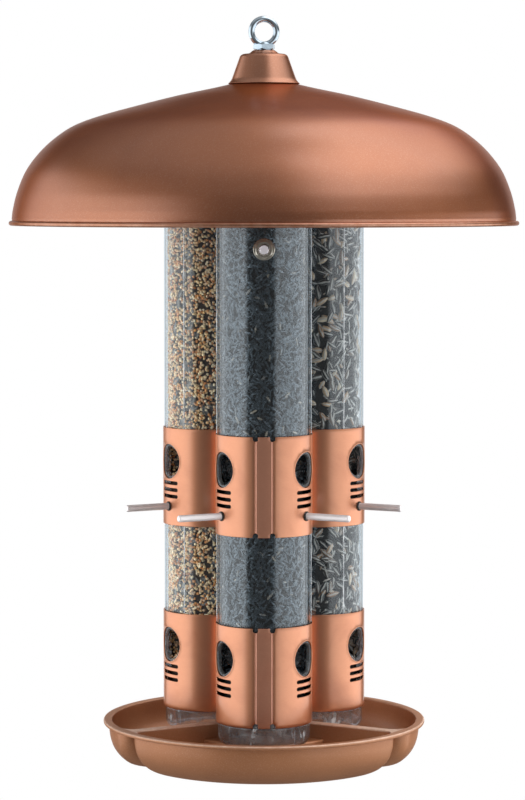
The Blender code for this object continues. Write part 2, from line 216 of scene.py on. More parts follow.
def joined(name, meshes):
    bm = bmesh.new()
    for me, m in meshes:
        t = me.copy()
        if m is not None:
            t.transform(m)
        bm.from_mesh(t)
        bpy.data.meshes.remove(t)
    out = bpy.data.meshes.new(name)
    bm.to_mesh(out)
    bm.free()
    return out


def boolean(name, base, steps):
    """Mesh of base after a list of (operation, mesh) steps."""
    o = bpy.data.objects.new(name + "_work", base)
    COL.objects.link(o)
    made = [o]
    for i, (op, me) in enumerate(steps):
        c = bpy.data.objects.new("%s_tool_%d" % (name, i), me)
        COL.objects.link(c)
        made.append(c)
        b = o.modifiers.new("b%d" % i, "BOOLEAN")
        b.operation, b.object, b.solver = op, c, "EXACT"
    dg = bpy.context.evaluated_depsgraph_get()
    out = bpy.data.meshes.new_from_object(o.evaluated_get(dg))
    out.name = name
    for x in made:
        bpy.data.objects.remove(x, do_unlink=True)
    return out


def weighted(o, weight=60):
    """Fixes the shading of big flat faces beside rounded edges."""
    m = o.modifiers.new("normals", "WEIGHTED_NORMAL")
    m.mode = "FACE_AREA"
    m.weight = weight
    m.keep_sharp = True
    return o


# ----------------------------------------------------------- material helpers
class Mat:
    def __init__(self, name):
        self.m = bpy.data.materials.new(name)
        self.m.use_nodes = True
        self.nt = self.m.node_tree
        self.nt.nodes.clear()
        self.out = self.nt.nodes.new("ShaderNodeOutputMaterial")

    def n(self, kind, ins=None, **props):
        x = self.nt.nodes.new(kind)
        for k, v in props.items():
            setattr(x, k, v)
        for k, v in (ins or {}).items():
            s = x.inputs[k]
            if isinstance(v, bpy.types.NodeSocket):
                self.nt.links.new(v, s)
            else:
                s.default_value = v
        return x

    def math(self, op, a, b=None, clamp=False):
        ins = {0: a}
        if b is not None:
            ins[1] = b
        return self.n("ShaderNodeMath", ins, operation=op, use_clamp=clamp).outputs[0]

    def ramp(self, fac, stops, interp="LINEAR"):
        x = self.n("ShaderNodeValToRGB", {"Fac": fac})
        x.color_ramp.interpolation = interp
        e = x.color_ramp.elements
        while len(e) < len(stops):
            e.new(0.5)
        for s, (p, c) in zip(e, stops):
            s.position = p
            s.color = (*c, 1.0) if len(c) == 3 else c
        return x.outputs["Color"]

    def mix(self, fac, a, b, blend="MIX"):
        x = self.n("ShaderNodeMix", None, data_type="RGBA", blend_type=blend)
        for i, v in ((0, fac), (6, a), (7, b)):
            s = x.inputs[i]
            if isinstance(v, bpy.types.NodeSocket):
                self.nt.links.new(v, s)
            else:
                s.default_value = (*v, 1.0) if isinstance(v, tuple) and len(v) == 3 else v
        return x.outputs[2]

    def range(self, v, a, b, c, d, kind="LINEAR", clamp=True):
        return self.n("ShaderNodeMapRange", {"Value": v, "From Min": a, "From Max": b,
                                             "To Min": c, "To Max": d},
                      interpolation_type=kind, clamp=clamp).outputs[0]

    def coords(self, scale=(1, 1, 1), rot=(0, 0, 0)):
        t = self.n("ShaderNodeTexCoord").outputs["Object"]
        return self.n("ShaderNodeMapping", {"Vector": t, "Scale": scale,
                                            "Rotation": rot}).outputs[0]

    def noise(self, vec, scale, detail=3.0, rough=0.5, distort=0.0):
        return self.n("ShaderNodeTexNoise", {"Vector": vec, "Scale": scale,
                                             "Detail": detail, "Roughness": rough,
                                             "Distortion": distort}).outputs["Fac"]

    def bump(self, height, strength, distance, normal=None):
        ins = {"Height": height, "Strength": strength, "Distance": distance}
        if normal is not None:
            ins["Normal"] = normal
        return self.n("ShaderNodeBump", ins).outputs[0]

    def shader(self, sock):
        self.nt.links.new(sock, self.out.inputs["Surface"])
        return self.m

    def principled(self, **ins):
        names = {"colour": "Base Color", "rough": "Roughness", "metal": "Metallic",
                 "normal": "Normal", "coat": "Coat Weight", "coat_rough": "Coat Roughness",
                 "spec": "Specular IOR Level", "ior": "IOR", "alpha": "Alpha",
                 "transmission": "Transmission Weight", "coat_normal": "Coat Normal",
                 "sheen": "Sheen Weight", "aniso": "Anisotropic",
                 "coat_ior": "Coat IOR", "coat_tint": "Coat Tint", "edge": "Specular Tint"}
        p = self.n("ShaderNodeBsdfPrincipled")
        for k, v in ins.items():
            s = p.inputs[names[k]]
            if isinstance(v, bpy.types.NodeSocket):
                self.nt.links.new(v, s)
            elif isinstance(v, tuple) and len(v) == 3 and s.type == "RGBA":
                s.default_value = (*v, 1.0)
            else:
                s.default_value = v
        return p.outputs[0]


def copper_paint(name, base, dark, light, rough=0.36, metal=0.95, coat=1.0, grain=1.0,
                 rim=None, coat_ior=1.75, coat_rough=0.26, edge=(0.62, 0.36, 0.26),
                 worn_and_highlight=(0.25, 0.9), worn_and_highlight_colour=None, side_coat=0.3, highlight_edge_radius=0.0):
    """Metallic paint: flakes, faint mottling, orange peel and light handling marks."""
    # near a given rim top the colour lightens in noisy patches: wear on the dome rim, a painted highlight on the
    # tray
    m = Mat(name)
    c = m.coords()
    soft = m.noise(c, 14.0, 4.0, 0.55)
    colour = m.mix(m.range(soft, 0.35, 0.65, 0.0, 1.0), dark, base)
    flake = m.n("ShaderNodeTexVoronoi", {"Vector": c, "Scale": 2600.0},
                feature="F1").outputs["Color"]
    sep = m.n("ShaderNodeSeparateColor", {"Color": flake}).outputs[0]
    colour = m.mix(m.range(sep, 0.75, 1.0, 0.0, 0.22 * grain), colour, light)
    streak = m.noise(m.coords((6, 6, 160)), 3.0, 3.0, 0.6)
    colour = m.mix(m.range(streak, 0.5, 0.8, 0.0, 0.12), colour, dark)
    # rim: wear on the dome rim bead; on the tray a painted highlight on the rim top and the divider tops
    if rim is not None:
        z = m.n("ShaderNodeSeparateXYZ", {"Vector": c}).outputs[2]
        near = m.range(z, min(rim) * MM, max(rim) * MM, *((1.0, 0.0) if rim[0] < rim[1] else (0.0, 1.0)))
        wear_and_highlight = m.math("MULTIPLY", near, m.range(m.noise(c, 180.0, 4.0, 0.7), 0.4, 0.7, *worn_and_highlight))
        # painted highlight: a light line along the tray's outer rim edge and over the divider tops
        if highlight_edge_radius:
            flat = m.n("ShaderNodeMapping", {"Vector": c, "Scale": (1, 1, 0)}).outputs[0]
            reach = m.n("ShaderNodeVectorMath", {0: flat}, operation="LENGTH").outputs["Value"]
            line = m.range(reach, (highlight_edge_radius - 1.3) * MM, (highlight_edge_radius - 0.5) * MM, 0.12, 1.0)
            web = m.range(reach, (highlight_edge_radius - 7.0) * MM, (highlight_edge_radius - 5.5) * MM, 1.0, 0.0)
            wear_and_highlight = m.math("MULTIPLY", wear_and_highlight, m.math("MAXIMUM", line, web))
        colour = m.mix(wear_and_highlight, colour, worn_and_highlight_colour or light)
    r = m.math("ADD", m.range(soft, 0.3, 0.7, rough - 0.03, rough + 0.03),
               m.range(m.noise(c, 90.0, 5.0, 0.7), 0.55, 0.8, 0.0, 0.07))
    peel = m.noise(c, 700.0, 2.0, 0.5)
    nrm = m.bump(peel, 0.05 * grain, 0.0004)
    nrm = m.bump(sep, 0.05 * grain, 0.0001, nrm)
    facing = m.n("ShaderNodeLayerWeight", {"Blend": 0.5}).outputs["Facing"]
    film = m.range(facing, 0.45, 0.85, coat, coat * side_coat)
    return m.shader(m.principled(colour=colour, rough=r, metal=metal, normal=nrm, edge=edge,
                                 coat=film, coat_rough=coat_rough, coat_ior=coat_ior))


def bare_copper(name, base=(0.81, 0.352, 0.192), dark=(0.62, 0.225, 0.115), rough=0.37):
    """Satin copper sheet: rolled hairlines round the tube and faint tarnish."""
    m = Mat(name)
    c = m.coords()
    blotch = m.noise(c, 38.0, 5.0, 0.6, 0.4)
    fine = m.noise(m.coords((60, 60, 900)), 6.0, 3.0, 0.6)
    colour = m.mix(m.range(blotch, 0.45, 0.75, 0.0, 0.35), base, dark)
    colour = m.mix(m.range(fine, 0.45, 0.75, 0.0, 0.16), colour, dark)
    r = m.math("ADD", m.range(fine, 0.3, 0.7, rough - 0.03, rough + 0.04),
               m.range(blotch, 0.5, 0.8, 0.0, 0.09))
    nrm = m.bump(fine, 0.04, 0.0003)
    nrm = m.bump(m.noise(c, 55.0, 2.0, 0.4), 0.10, 0.0006, nrm)
    return m.shader(m.principled(colour=colour, rough=r, metal=1.0, normal=nrm,
                                 edge=(0.85, 0.60, 0.47), coat=0.7, coat_ior=1.75,
                                 coat_rough=0.16))


def steel(name, base=(0.62, 0.60, 0.56), dark=(0.40, 0.38, 0.35), rough=0.28,
          stretch=(1, 1, 1), bump=0.08, metal=1.0):
    """Zinc-plated or drawn metal with small pits and drawing lines."""
    m = Mat(name)
    c = m.coords()
    a = m.noise(m.coords(stretch), 260.0, 4.0, 0.6)
    b = m.noise(c, 60.0, 3.0, 0.5)
    colour = m.mix(m.range(b, 0.4, 0.75, 0.0, 0.6), base, dark)
    r = m.math("ADD", m.range(a, 0.3, 0.7, rough - 0.06, rough + 0.08),
               m.range(b, 0.5, 0.8, 0.0, 0.06))
    return m.shader(m.principled(colour=colour, rough=r, metal=metal,
                                 normal=m.bump(a, bump, 0.0003)))


def plastic(name, base, dark, rough=0.4, metal=0.0, coat=0.0, bump=0.06, scale=500.0):
    m = Mat(name)
    c = m.coords()
    soft = m.noise(c, 25.0, 4.0, 0.6)
    grain = m.noise(c, scale, 3.0, 0.6)
    colour = m.mix(m.range(soft, 0.35, 0.7, 0.0, 1.0), base, dark)
    r = m.math("ADD", m.range(grain, 0.3, 0.7, rough - 0.05, rough + 0.06),
               m.range(soft, 0.5, 0.8, 0.0, 0.05))
    return m.shader(m.principled(colour=colour, rough=r, metal=metal, coat=coat,
                                 coat_rough=0.3, normal=m.bump(grain, bump, 0.0003)))


def clear_plastic(name, tint=(0.97, 0.985, 0.99), edge=(0.62, 0.68, 0.72), gloss=1.0,
                  rough=0.04, haze=0.04, streaks=False):
    """Clear polycarbonate: see-through face on, more reflecting and greyer edge on."""
    m = Mat(name)
    c = m.coords()
    scuff = m.noise(c, 120.0, 5.0, 0.65)
    wave = m.noise(m.coords((40, 40, 5)), 1.0, 2.0, 0.5)
    nrm = m.bump(wave, 0.12, 0.0006)
    facing = m.n("ShaderNodeLayerWeight", {"Blend": 0.5, "Normal": nrm}).outputs["Facing"]
    body = m.mix(m.range(facing, 0.62, 0.98, 0.0, 1.0), tint, edge)
    if streaks:
        xyz = m.n("ShaderNodeSeparateXYZ", {"Vector": c})
        around = m.math("ARCTAN2", xyz.outputs[1], xyz.outputs[0])
        vec = m.n("ShaderNodeCombineXYZ", {"X": around, "Y": 0.0, "Z": xyz.outputs[2]}).outputs[0]
        st = m.noise(m.n("ShaderNodeMapping", {"Vector": vec, "Scale": (3.2, 1, 60)}).outputs[0],
                     1.0, 4.0, 0.65)
        body = m.mix(m.range(st, 0.46, 0.62, 0.0, 0.8), body, edge)
    clear = m.n("ShaderNodeBsdfTransparent", {"Color": body}).outputs[0]
    r = m.range(scuff, 0.4, 0.75, rough, rough + 0.08)
    shine = m.n("ShaderNodeBsdfGlossy", {"Color": (0.89, 0.95, 1, 1), "Roughness": r,
                                         "Normal": nrm}).outputs[0]
    film = m.n("ShaderNodeBsdfDiffuse", {"Color": (0.82, 0.86, 0.88, 1)}).outputs[0]
    steep = m.math("POWER", facing, 4.5)
    fac = m.math("ADD", 0.045 * gloss, m.math("MULTIPLY", steep, 0.85), clamp=True)
    hz = m.math("MULTIPLY", m.range(scuff, 0.45, 0.8, 0.4, 1.6), haze)
    if streaks:
        hz = m.math("ADD", hz, m.range(st, 0.56, 0.68, 0.0, 0.55))
    a = m.n("ShaderNodeMixShader", {0: hz, 1: clear, 2: film}).outputs[0]
    return m.shader(m.n("ShaderNodeMixShader", {0: fac, 1: a, 2: shine}).outputs[0])


def seed_attr(m, name="seed"):
    return m.n("ShaderNodeAttribute", attribute_name=name, attribute_type="GEOMETRY")


M = {}
M["dome"] = copper_paint("copper_paint", (0.51, 0.168, 0.062), (0.44, 0.138, 0.050),
                         (0.76, 0.43, 0.28), rough=0.36, rim=(369.0, 375.0),
                         coat=0.8, coat_ior=2.0, coat_rough=0.22, edge=(0.5, 0.25, 0.16))
# finial: a lighter copy of the dome paint, painted light that makes the cap brighter than the dome
M["finial"] = copper_paint("copper_paint_finial", (0.57, 0.22, 0.10), (0.49, 0.18, 0.08),
                           (0.75, 0.43, 0.28), rough=0.33, coat=0.85, coat_ior=2.0, coat_rough=0.24,
                           edge=(0.55, 0.3, 0.2))
# tray: the rim top, outer rim edge and divider tops are lightened, a painted highlight
M["tray"] = copper_paint("bronze_plastic", (0.48, 0.215, 0.103), (0.40, 0.172, 0.080),
                         (0.66, 0.40, 0.26), rough=0.54, metal=0.62, coat=0.5, grain=1.2,
                         coat_ior=1.5, coat_rough=0.28, rim=(RIM_Z - 0.15, RIM_Z - 1.3),
                         worn_and_highlight=(0.55, 1.0), worn_and_highlight_colour=(0.86, 0.66, 0.53), highlight_edge_radius=RIM_R)
M["collar"] = bare_copper("satin_copper")
M["strip"] = bare_copper("satin_copper_strip", (0.76, 0.36, 0.23), (0.55, 0.22, 0.13), 0.52)
M["rod"] = steel("threaded_rod", stretch=(1, 1, 6))
M["hardware"] = steel("zinc_steel", (0.66, 0.63, 0.55), (0.44, 0.41, 0.34))
# stud: a lighter, less metallic copy of the zinc steel, a painted highlight on the stud ends
M["stud"] = steel("stud_steel_painted_highlight", (0.86, 0.84, 0.90), (0.74, 0.71, 0.76), 0.34, (1, 1, 1), 0.05,
                   metal=0.3)
M["perch"] = steel("aluminium_rod", (0.84, 0.80, 0.81), (0.70, 0.65, 0.65), 0.36, (8, 8, 8), 0.05,
                   metal=0.35)
M["eye"] = steel("bright_zinc", (0.68, 0.79, 0.88), (0.42, 0.57, 0.70), 0.11, (1, 1, 1), 0.03)
M["sleeve"] = plastic("grey_plastic", (0.10, 0.10, 0.11), (0.07, 0.07, 0.08), 0.5)
M["tube"] = clear_plastic("clear_tube", gloss=1.25, haze=0.002)
M["base"] = clear_plastic("clear_base", (0.93, 0.94, 0.96), (0.56, 0.60, 0.64), gloss=2.6,
                          rough=0.05, haze=0.17, streaks=True)
M["hood"] = clear_plastic("smoke_hood", (0.88, 0.86, 0.85), (0.40, 0.37, 0.36), gloss=0.9,
                          rough=0.08, haze=0.02)
M["port_ring"] = clear_plastic("port_ring_plastic", (0.55, 0.50, 0.50), (0.34, 0.30, 0.30),
                               gloss=1.2, rough=0.2, haze=0.14)
M["rib"] = clear_plastic("tube_rib_plastic", (0.80, 0.84, 0.86), (0.40, 0.44, 0.46), gloss=4.0,
                         rough=0.1, haze=0.7)
# near-black ring material for the perch roots: painted shade
M["gasket"] = plastic("dark_gasket", (0.02, 0.02, 0.02), (0.035, 0.03, 0.03), 0.6)


# ------------------------------------------------------------- dome and finial
outer = spline([(23.4, 465.5), (34.6, 462.9), (60.0, 457.5), (92.2, 449.3),
                (115.0, 442.8), (130.0, 436.9), (142.2, 428.9), (153.0, 418.8),
                (162.0, 406.6), (168.0, 392.4), (171.0, 380.5), (171.8, 374.4)], 8)
outer = [(3.6, DOME_TOP), (12.0, DOME_TOP), (22.0, DOME_TOP)] + outer
bead = []
bead_r = 1.62
cx, cz = DOME_R - bead_r, DOME_LOW + bead_r
for i in range(15):
    t = math.radians(118.0 - (118.0 + 180.0) * i / 14)
    bead.append((cx + bead_r * math.cos(t), cz + bead_r * math.sin(t)))
inner = [(r - 1.0, z - 0.15) for r, z in outer if r > 165.0][::-1]
low_in = []
for (r, z), (r2, z2) in zip(outer[:-1], outer[1:]):
    t = Vector((r2 - r, z2 - z))
    if t.length < 1e-6:
        continue
    t.normalize()
    low_in.append((r + t.y * 1.0, z - t.x * 1.0))
low_in[0] = (3.6, DOME_TOP - 1.0)
profile = outer + bead + low_in[::-1]
dome = turned("dome_cover", profile, M["dome"], "cover", 288, True, angle=50.0)
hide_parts("dome")

FZ = DOME_TOP
fin = round_corners([(5.6, 487.2), (5.6, 488.7), (7.2, 488.7), (10.3, 486.3), (14.4, 486.0),
                     (16.2, 484.9), (21.25, 470.9), (22.1, 468.6), (23.6, 466.75),
                     (24.5, 466.05), (24.1, 465.75), (22.6, FZ + 0.02), (20.9, FZ + 0.02), (20.2, 469.0),
                     (14.9, 484.0), (13.0, 484.9), (9.4, 485.1), (6.8, 487.2)],
                    [0, 0.3, 0.8, 1.2, 0.8, 1.0, 1.0, 2.0, 0.8, 0.2, 0.1, 0.3, 0.3, 1, 1, 1, 1, 0], 5)
finial = turned("finial_cap", fin, M["finial"], "cover", 128, True, angle=60.0)
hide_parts("finial")


# ---------------------------------------------------------------------- eye
def hex_solid(name, af, z0, z1, chamfer, bore=None, washer=None, spin=0.0, n=96):
    """Hexagon with turned chamfers at both ends, and a bore."""
    rc = af / 2 / math.cos(math.pi / 6)
    me = bpy.data.meshes.new(name)
    bm = bmesh.new()
    bmesh.ops.create_cone(bm, cap_ends=True, segments=6, radius1=rc * MM, radius2=rc * MM,
                          depth=(z1 - z0) * MM,
                          matrix=Matrix.Translation((0, 0, (z0 + z1) / 2 * MM))
                          @ Matrix.Rotation(spin, 4, "Z"))
    bm.to_mesh(me)
    bm.free()
    c = chamfer
    tool_v, tool_f = lathe([(0, z0), (af / 2 - 0.25, z0), (rc + 0.05, z0 + c),
                            (rc + 0.05, z1 - c), (af / 2 - 0.25, z1), (0, z1)], n)
    ops = [("INTERSECT", fixed(tool_v, tool_f, name + "_c"))]
    if bore:
        bv, bf = lathe([(0, z0 - 1), (bore + 0.6, z0 - 1), (bore + 0.6, z0), (bore, z0 + 0.6),
                        (bore, z1 - 0.6), (bore + 0.6, z1), (bore + 0.6, z1 + 1), (0, z1 + 1)], 48)
        ops.append(("DIFFERENCE", fixed(bv, bf, name + "_b")))
    return boolean(name, me, ops)


def torus_mesh(name, big, small, matrix, n=96, k=28):
    verts, faces = [], []
    for i in range(n):
        a = 2 * math.pi * i / n
        for j in range(k):
            b = 2 * math.pi * j / k
            r = big + small * math.cos(b)
            verts.append(tuple(matrix @ Vector((r * math.cos(a) * MM, r * math.sin(a) * MM,
                                                small * math.sin(b) * MM))))
            faces.append((i * k + j, ((i + 1) % n) * k + j,
                          ((i + 1) % n) * k + (j + 1) % k, i * k + (j + 1) % k))
    me = bpy.data.meshes.new(name)
    me.from_pydata(verts, [], faces)
    return me


spin = math.radians(12.0)
ring_m = (Matrix.Translation((0, 0, 0.5011)) @ Matrix.Rotation(spin, 4, "Z")
          @ Matrix.Rotation(math.pi / 2, 4, "X"))
EB0, EB1 = 489.0, 492.8
neck_v, neck_f = lathe(round_corners([(0, 494.3), (2.2, 494.2), (3.6, 493.4), (5.2, 492.3),
                                      (4.9, 490.0), (0, 490.0)], [0, .5, 1.0, .4, .4, 0], 5), 48)
shank_v, shank_f = lathe([(0, 491.0), (5.2, 491.0), (5.2, 477.4), (4.8, 477.0), (3.5, 477.0),
                          (3.5, 490.6), (0, 490.6)], 48)
eye_me = joined("eye_bolt", [
    (hex_solid("eye_hex", 13.6, EB0, EB1, 0.75, spin=math.radians(-11.0)), None),
    (torus_mesh("eye_torus", 8.65, 2.15, ring_m), None),
    (fixed(neck_v, neck_f, "eye_neck"), None),
    (fixed(shank_v, shank_f, "eye_shank"), None)])
eye = obj_of("eye_bolt", eye_me, "eye", M["eye"], None, True, 32)
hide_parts("eye_nut")


# --------------------------------------------------------------------- tray
def lobe_outline(radius, gap, corner, arc_steps=44, corner_steps=10):
    v = gap + corner
    u = math.sqrt((radius - corner) ** 2 - v * v)
    phi = math.atan2(v, u)
    side = []
    for i in range(corner_steps + 1):
        t = -math.pi / 2 + (phi + math.pi / 2) * i / corner_steps
        side.append((u + corner * math.cos(t), v + corner * math.sin(t)))
    rot = Matrix.Rotation(math.radians(-60.0), 2)
    low = [rot @ Vector(p) for p in side]
    high = [Vector((p.x, -p.y)) for p in reversed(low)]
    half = math.radians(60.0) - phi
    arc = [Vector((radius * math.cos(t), radius * math.sin(t)))
           for t in [(-half + 2 * half * i / arc_steps) for i in range(1, arc_steps)]]
    apex = Vector((gap / math.sin(math.radians(60.0)), 0.0))
    up = [apex.lerp(low[0], f) for f in (0.25, 0.5, 0.75)]
    down = [high[-1].lerp(apex, f) for f in (0.25, 0.5, 0.75)]
    return [apex] + up + low + arc + high + down


def lobe_mesh(name, levels):
    verts, faces = [], []
    for radius, gap, corner, z in levels:
        ring = lobe_outline(radius, gap, corner)
        verts += [(p.x * MM, p.y * MM, z * MM) for p in ring]
    n = len(verts) // len(levels)
    for k in range(len(levels) - 1):
        for i in range(n):
            j = (i + 1) % n
            faces.append((k * n + i, k * n + j, (k + 1) * n + j, (k + 1) * n + i))
    faces.append(tuple(range(n)))
    faces.append(tuple(range((len(levels) - 1) * n, len(levels) * n)))
    return fixed(verts, faces, name)


LOBE = [(107.0, 28.6), (106.4, 20.0), (103.8, 11.8), (98.2, 5.3), (89.5, 1.4), (80.0, 0.0)]
WALL, GAP, CORNER, DRAFT = 2.2, 1.5, 11.0, 0.45
fine_out = spline(LOBE, 4)
out_levels = [(r, GAP + DRAFT * (107.0 - r), CORNER, max(z, 0.0)) for r, z in fine_out]
ins = []
for i, (r, z) in enumerate(fine_out):
    a = Vector(fine_out[max(i - 1, 0)])
    b = Vector(fine_out[min(i + 1, len(fine_out) - 1)])
    t = (b - a).normalized()
    nv = Vector((t.y, -t.x))
    if nv.x > 0:
        nv = -nv
    ins.append((r + nv.x * WALL, z + nv.y * WALL))
ins[-1] = (ins[-1][0], WALL + 0.2)
in_levels = []
top_r = ins[0][0]
LIP = 0.9
for k in range(6):
    t = math.pi / 2 * k / 5
    grow = LIP * (1 - math.sin(t))
    z = RIM_Z - LIP * (1 - math.cos(t))
    in_levels.append((top_r + grow, GAP + WALL + 0.2 - grow, CORNER - WALL + grow, z))
in_levels.insert(0, (in_levels[0][0] + 0.6, in_levels[0][1] - 0.6, in_levels[0][2] + 0.6,
                     RIM_Z + 1.2))
for r, z in ins:
    if z < RIM_Z - LIP - 0.3:
        in_levels.append((r, GAP + WALL + 0.2 + DRAFT * max(0.0, 107.0 - WALL - r),
                          CORNER - WALL, z))
turn3 = [Matrix.Rotation(TURN[k], 4, "Z") for k in TUBES]
lobe_o, lobe_i = lobe_mesh("lobe_outer", out_levels), lobe_mesh("lobe_inner", in_levels)
disc_v, disc_f = lathe(round_corners([(0, RIM_Z), (RIM_R, RIM_Z), (RIM_R, RIM_Z - 2.5),
                                      (0, RIM_Z - 2.5)], [0, 1.1, 1.1, 0], 6), 216)
plat_v, plat_f = lathe(round_corners([(0, 20.2), (50.0, 20.2), (50.0, 3.2), (51.6, 1.6),
                                      (49.0, 0.9), (0, 0.9)], [0, 2.0, 1.5, 0, 0, 0], 6), 144)
rec_v, rec_f = lathe(round_corners([(0, -2.0), (48.6, -2.0), (47.8, 0.6), (47.8, 17.6),
                                    (0, 17.6)], [0, 0, 0.8, 1.5, 0], 5), 120)
tray_me = boolean("tray_shell", fixed(disc_v, disc_f, "disc"), [
    ("UNION", joined("lobes_o", [(lobe_o, m) for m in turn3])),
    ("DIFFERENCE", joined("lobes_i", [(lobe_i, m) for m in turn3])),
    ("UNION", fixed(plat_v, plat_f, "plateau")),
    ("DIFFERENCE", fixed(rec_v, rec_f, "recess")),
    ("DIFFERENCE", cylinder_mesh("rod_bore", 3.55, (0, 0, -3), (0, 0, 34), 40))])
tray = obj_of("tray_shell", tray_me, "root", M["tray"], None, True, 32)
tray.data.materials.clear()
tray.data.materials.append(M["tray"])
weighted(tray)
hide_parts("tray")


# ------------------------------------------------------- copper collars
def stadium(w, h, grow, n=8):
    """Slot outline with round ends, anticlockwise."""
    r = h / 2 + grow
    half = w / 2 - h / 2
    pts = []
    for k in range(n + 1):
        t = -math.pi / 2 + math.pi * k / n
        pts.append((half + r * math.cos(t), r * math.sin(t)))
    for f in (0.6, 0.2, -0.2, -0.6):
        pts.append((half * f, r))
    for k in range(n + 1):
        t = math.pi / 2 + math.pi * k / n
        pts.append((-half + r * math.cos(t), r * math.sin(t)))
    for f in (-0.6, -0.2, 0.2, 0.6):
        pts.append((half * f, -r))
    return pts


def circle(r, n=56):
    return [(r * math.cos(2 * math.pi * k / n), r * math.sin(2 * math.pi * k / n))
            for k in range(n)]


def wrap(s, z, r):
    a = s / COLLAR_R
    return (r * math.cos(a) * MM, r * math.sin(a) * MM, z * MM)


def inside_poly(p, poly):
    x, y = p
    c = False
    j = len(poly) - 1
    for i in range(len(poly)):
        xi, yi = poly[i]
        xj, yj = poly[j]
        if (yi > y) != (yj > y) and x < (xj - xi) * (y - yi) / (yj - yi) + xi:
            c = not c
        j = i
    return c


def collar_mesh(level):
    z0, z1 = COLLAR_SPAN[level]
    R = COLLAR_R
    s0 = SEAM
    s1 = 2 * math.pi * R - SEAM
    pz = PORT_Z[level]
    # holes: centre, outline function of the growth, lip profile (growth, lift)
    port_lip = [(1.05, 0.0), (0.85, 0.12), (0.55, 0.20), (0.25, 0.16), (0.06, 0.0),
                (0.0, -0.2), (0.0, -0.6)]
    slot_lip = [(0.55, 0.0), (0.34, 0.03), (0.14, -0.05), (0.0, -0.22), (0.0, -0.6)]
    holes = []
    for deg in PORT_DEG.values():
        sc = (math.radians(deg) % (2 * math.pi)) * R
        holes.append((sc, pz, lambda g: circle(PORT_R + g), port_lip))
        for d in SLOT_DROPS:
            holes.append((sc, pz - d, lambda g: stadium(SLOT_W, SLOT_H, g), slot_lip))
        if level == "upper":
            holes.append((sc, PERCH_Z, lambda g: circle(2.7 + g, 24), slot_lip[1:]))
    # outline, with a notch at each corner beside the seam and rolled edges
    notch_w, notch_h = 1.45, 3.1
    nt = [(notch_w * (1 - math.sin(t)), notch_h - notch_w + notch_w * math.cos(t) * 1.0)
          for t in [math.pi / 2 * k / 6 for k in range(7)]]
    e = 0.35
    ss = np.linspace(s0 + notch_w, s1 - notch_w, 132)
    low = [(float(s), z0 + e) for s in ss]
    high = [(float(s), z1 - e) for s in ss[::-1]]
    corner = [(notch_w, 0.0)] + [(notch_w * math.cos(t), notch_h - notch_w + notch_w * math.sin(t))
                                 for t in [math.pi / 2 * k / 6 for k in range(7)]]
    lr = [(s1 - u, z0 + v) for u, v in corner[1:]]
    ur = [(s1 - u, z1 - v) for u, v in corner[1:]][::-1]
    ul = [(s0 + u, z1 - v) for u, v in corner[1:]]
    ll = [(s0 + u, z0 + v) for u, v in corner[1:]][::-1]
    zz = np.linspace(z0 + notch_h, z1 - notch_h, 26)[1:-1]
    right = [(s1, float(z)) for z in zz]
    left = [(s0, float(z)) for z in zz[::-1]]
    outline = low + lr + right + ur + high + ul + left + ll
    pts, edges = [], []

    def loop(ring):
        start = len(pts)
        pts.extend(ring)
        edges.extend((start + i, start + (i + 1) % len(ring)) for i in range(len(ring)))

    loop(outline)
    cut_loops = []
    for sc, zc, fn, lip in holes:
        ring = [(sc + x, zc + y) for x, y in fn(lip[0][0])]
        cut_loops.append(ring)
        loop(ring)
    grid_s = np.arange(s0 + 1.5, s1 - 1.0, 1.55)
    grid_z = np.arange(z0 + 2.2, z1 - 1.6, 2.6)
    for z in grid_z:
        for s in grid_s:
            near = False
            for sc, zc, fn, lip in holes:
                if abs(s - sc) < 12.5 and abs(z - zc) < 13.6:
                    ring = [(sc + x, zc + y) for x, y in fn(lip[0][0] + 0.9)]
                    if inside_poly((s, z), ring):
                        near = True
                        break
            if (s < s0 + 2.4 or s > s1 - 2.4) and (z < z0 + 4.4 or z > z1 - 4.4):
                near = True
            if not near:
                pts.append((float(s), float(z)))
    vs, _, fs, _, _, _ = delaunay_2d_cdt([Vector(p) for p in pts], edges, [], 1, 1e-5)
    keep = []
    for f in fs:
        c = sum((vs[i] for i in f), Vector((0, 0))) / len(f)
        if any(inside_poly((c.x, c.y), r) for r in cut_loops if abs(r[0][0] - c.x) < 30):
            continue
        if not inside_poly((c.x, c.y), outline):
            continue
        keep.append(f)
    verts = [wrap(v.x, v.y, R) for v in vs]
    n = len(verts)
    verts += [wrap(v.x, v.y, R - SHEET) for v in vs]
    faces = [tuple(f) for f in keep] + [tuple(n + i for i in reversed(f)) for f in keep]

    def strip(rings, close=True):
        base = len(verts)
        m = len(rings[0])
        for ring in rings:
            verts.extend(ring)
        for a in range(len(rings) - 1):
            for i in range(m if close else m - 1):
                j = (i + 1) % m
                faces.append((base + a * m + i, base + a * m + j,
                              base + (a + 1) * m + j, base + (a + 1) * m + i))

    for sc, zc, fn, lip in holes:
        strip([[wrap(sc + x, zc + y, R + lift) for x, y in fn(g)] for g, lift in lip])
    # rolled outer edge: outline normals
    m = len(outline)
    nrm = []
    for i in range(m):
        a, b = Vector(outline[i - 1]), Vector(outline[(i + 1) % m])
        t = (b - a).normalized()
        nrm.append((t.y, -t.x))
    rings = []
    for g, lift in ((0.0, 0.0), (0.2, -0.06), (0.31, -0.19), (0.34, -0.33), (0.28, -0.5), (0.0, -0.6)):
        rings.append([wrap(s + nx * g, z + ny * g, R + lift)
                      for (s, z), (nx, ny) in zip(outline, nrm)])
    strip(rings)
    return fixed(verts, faces, "collar_" + level)


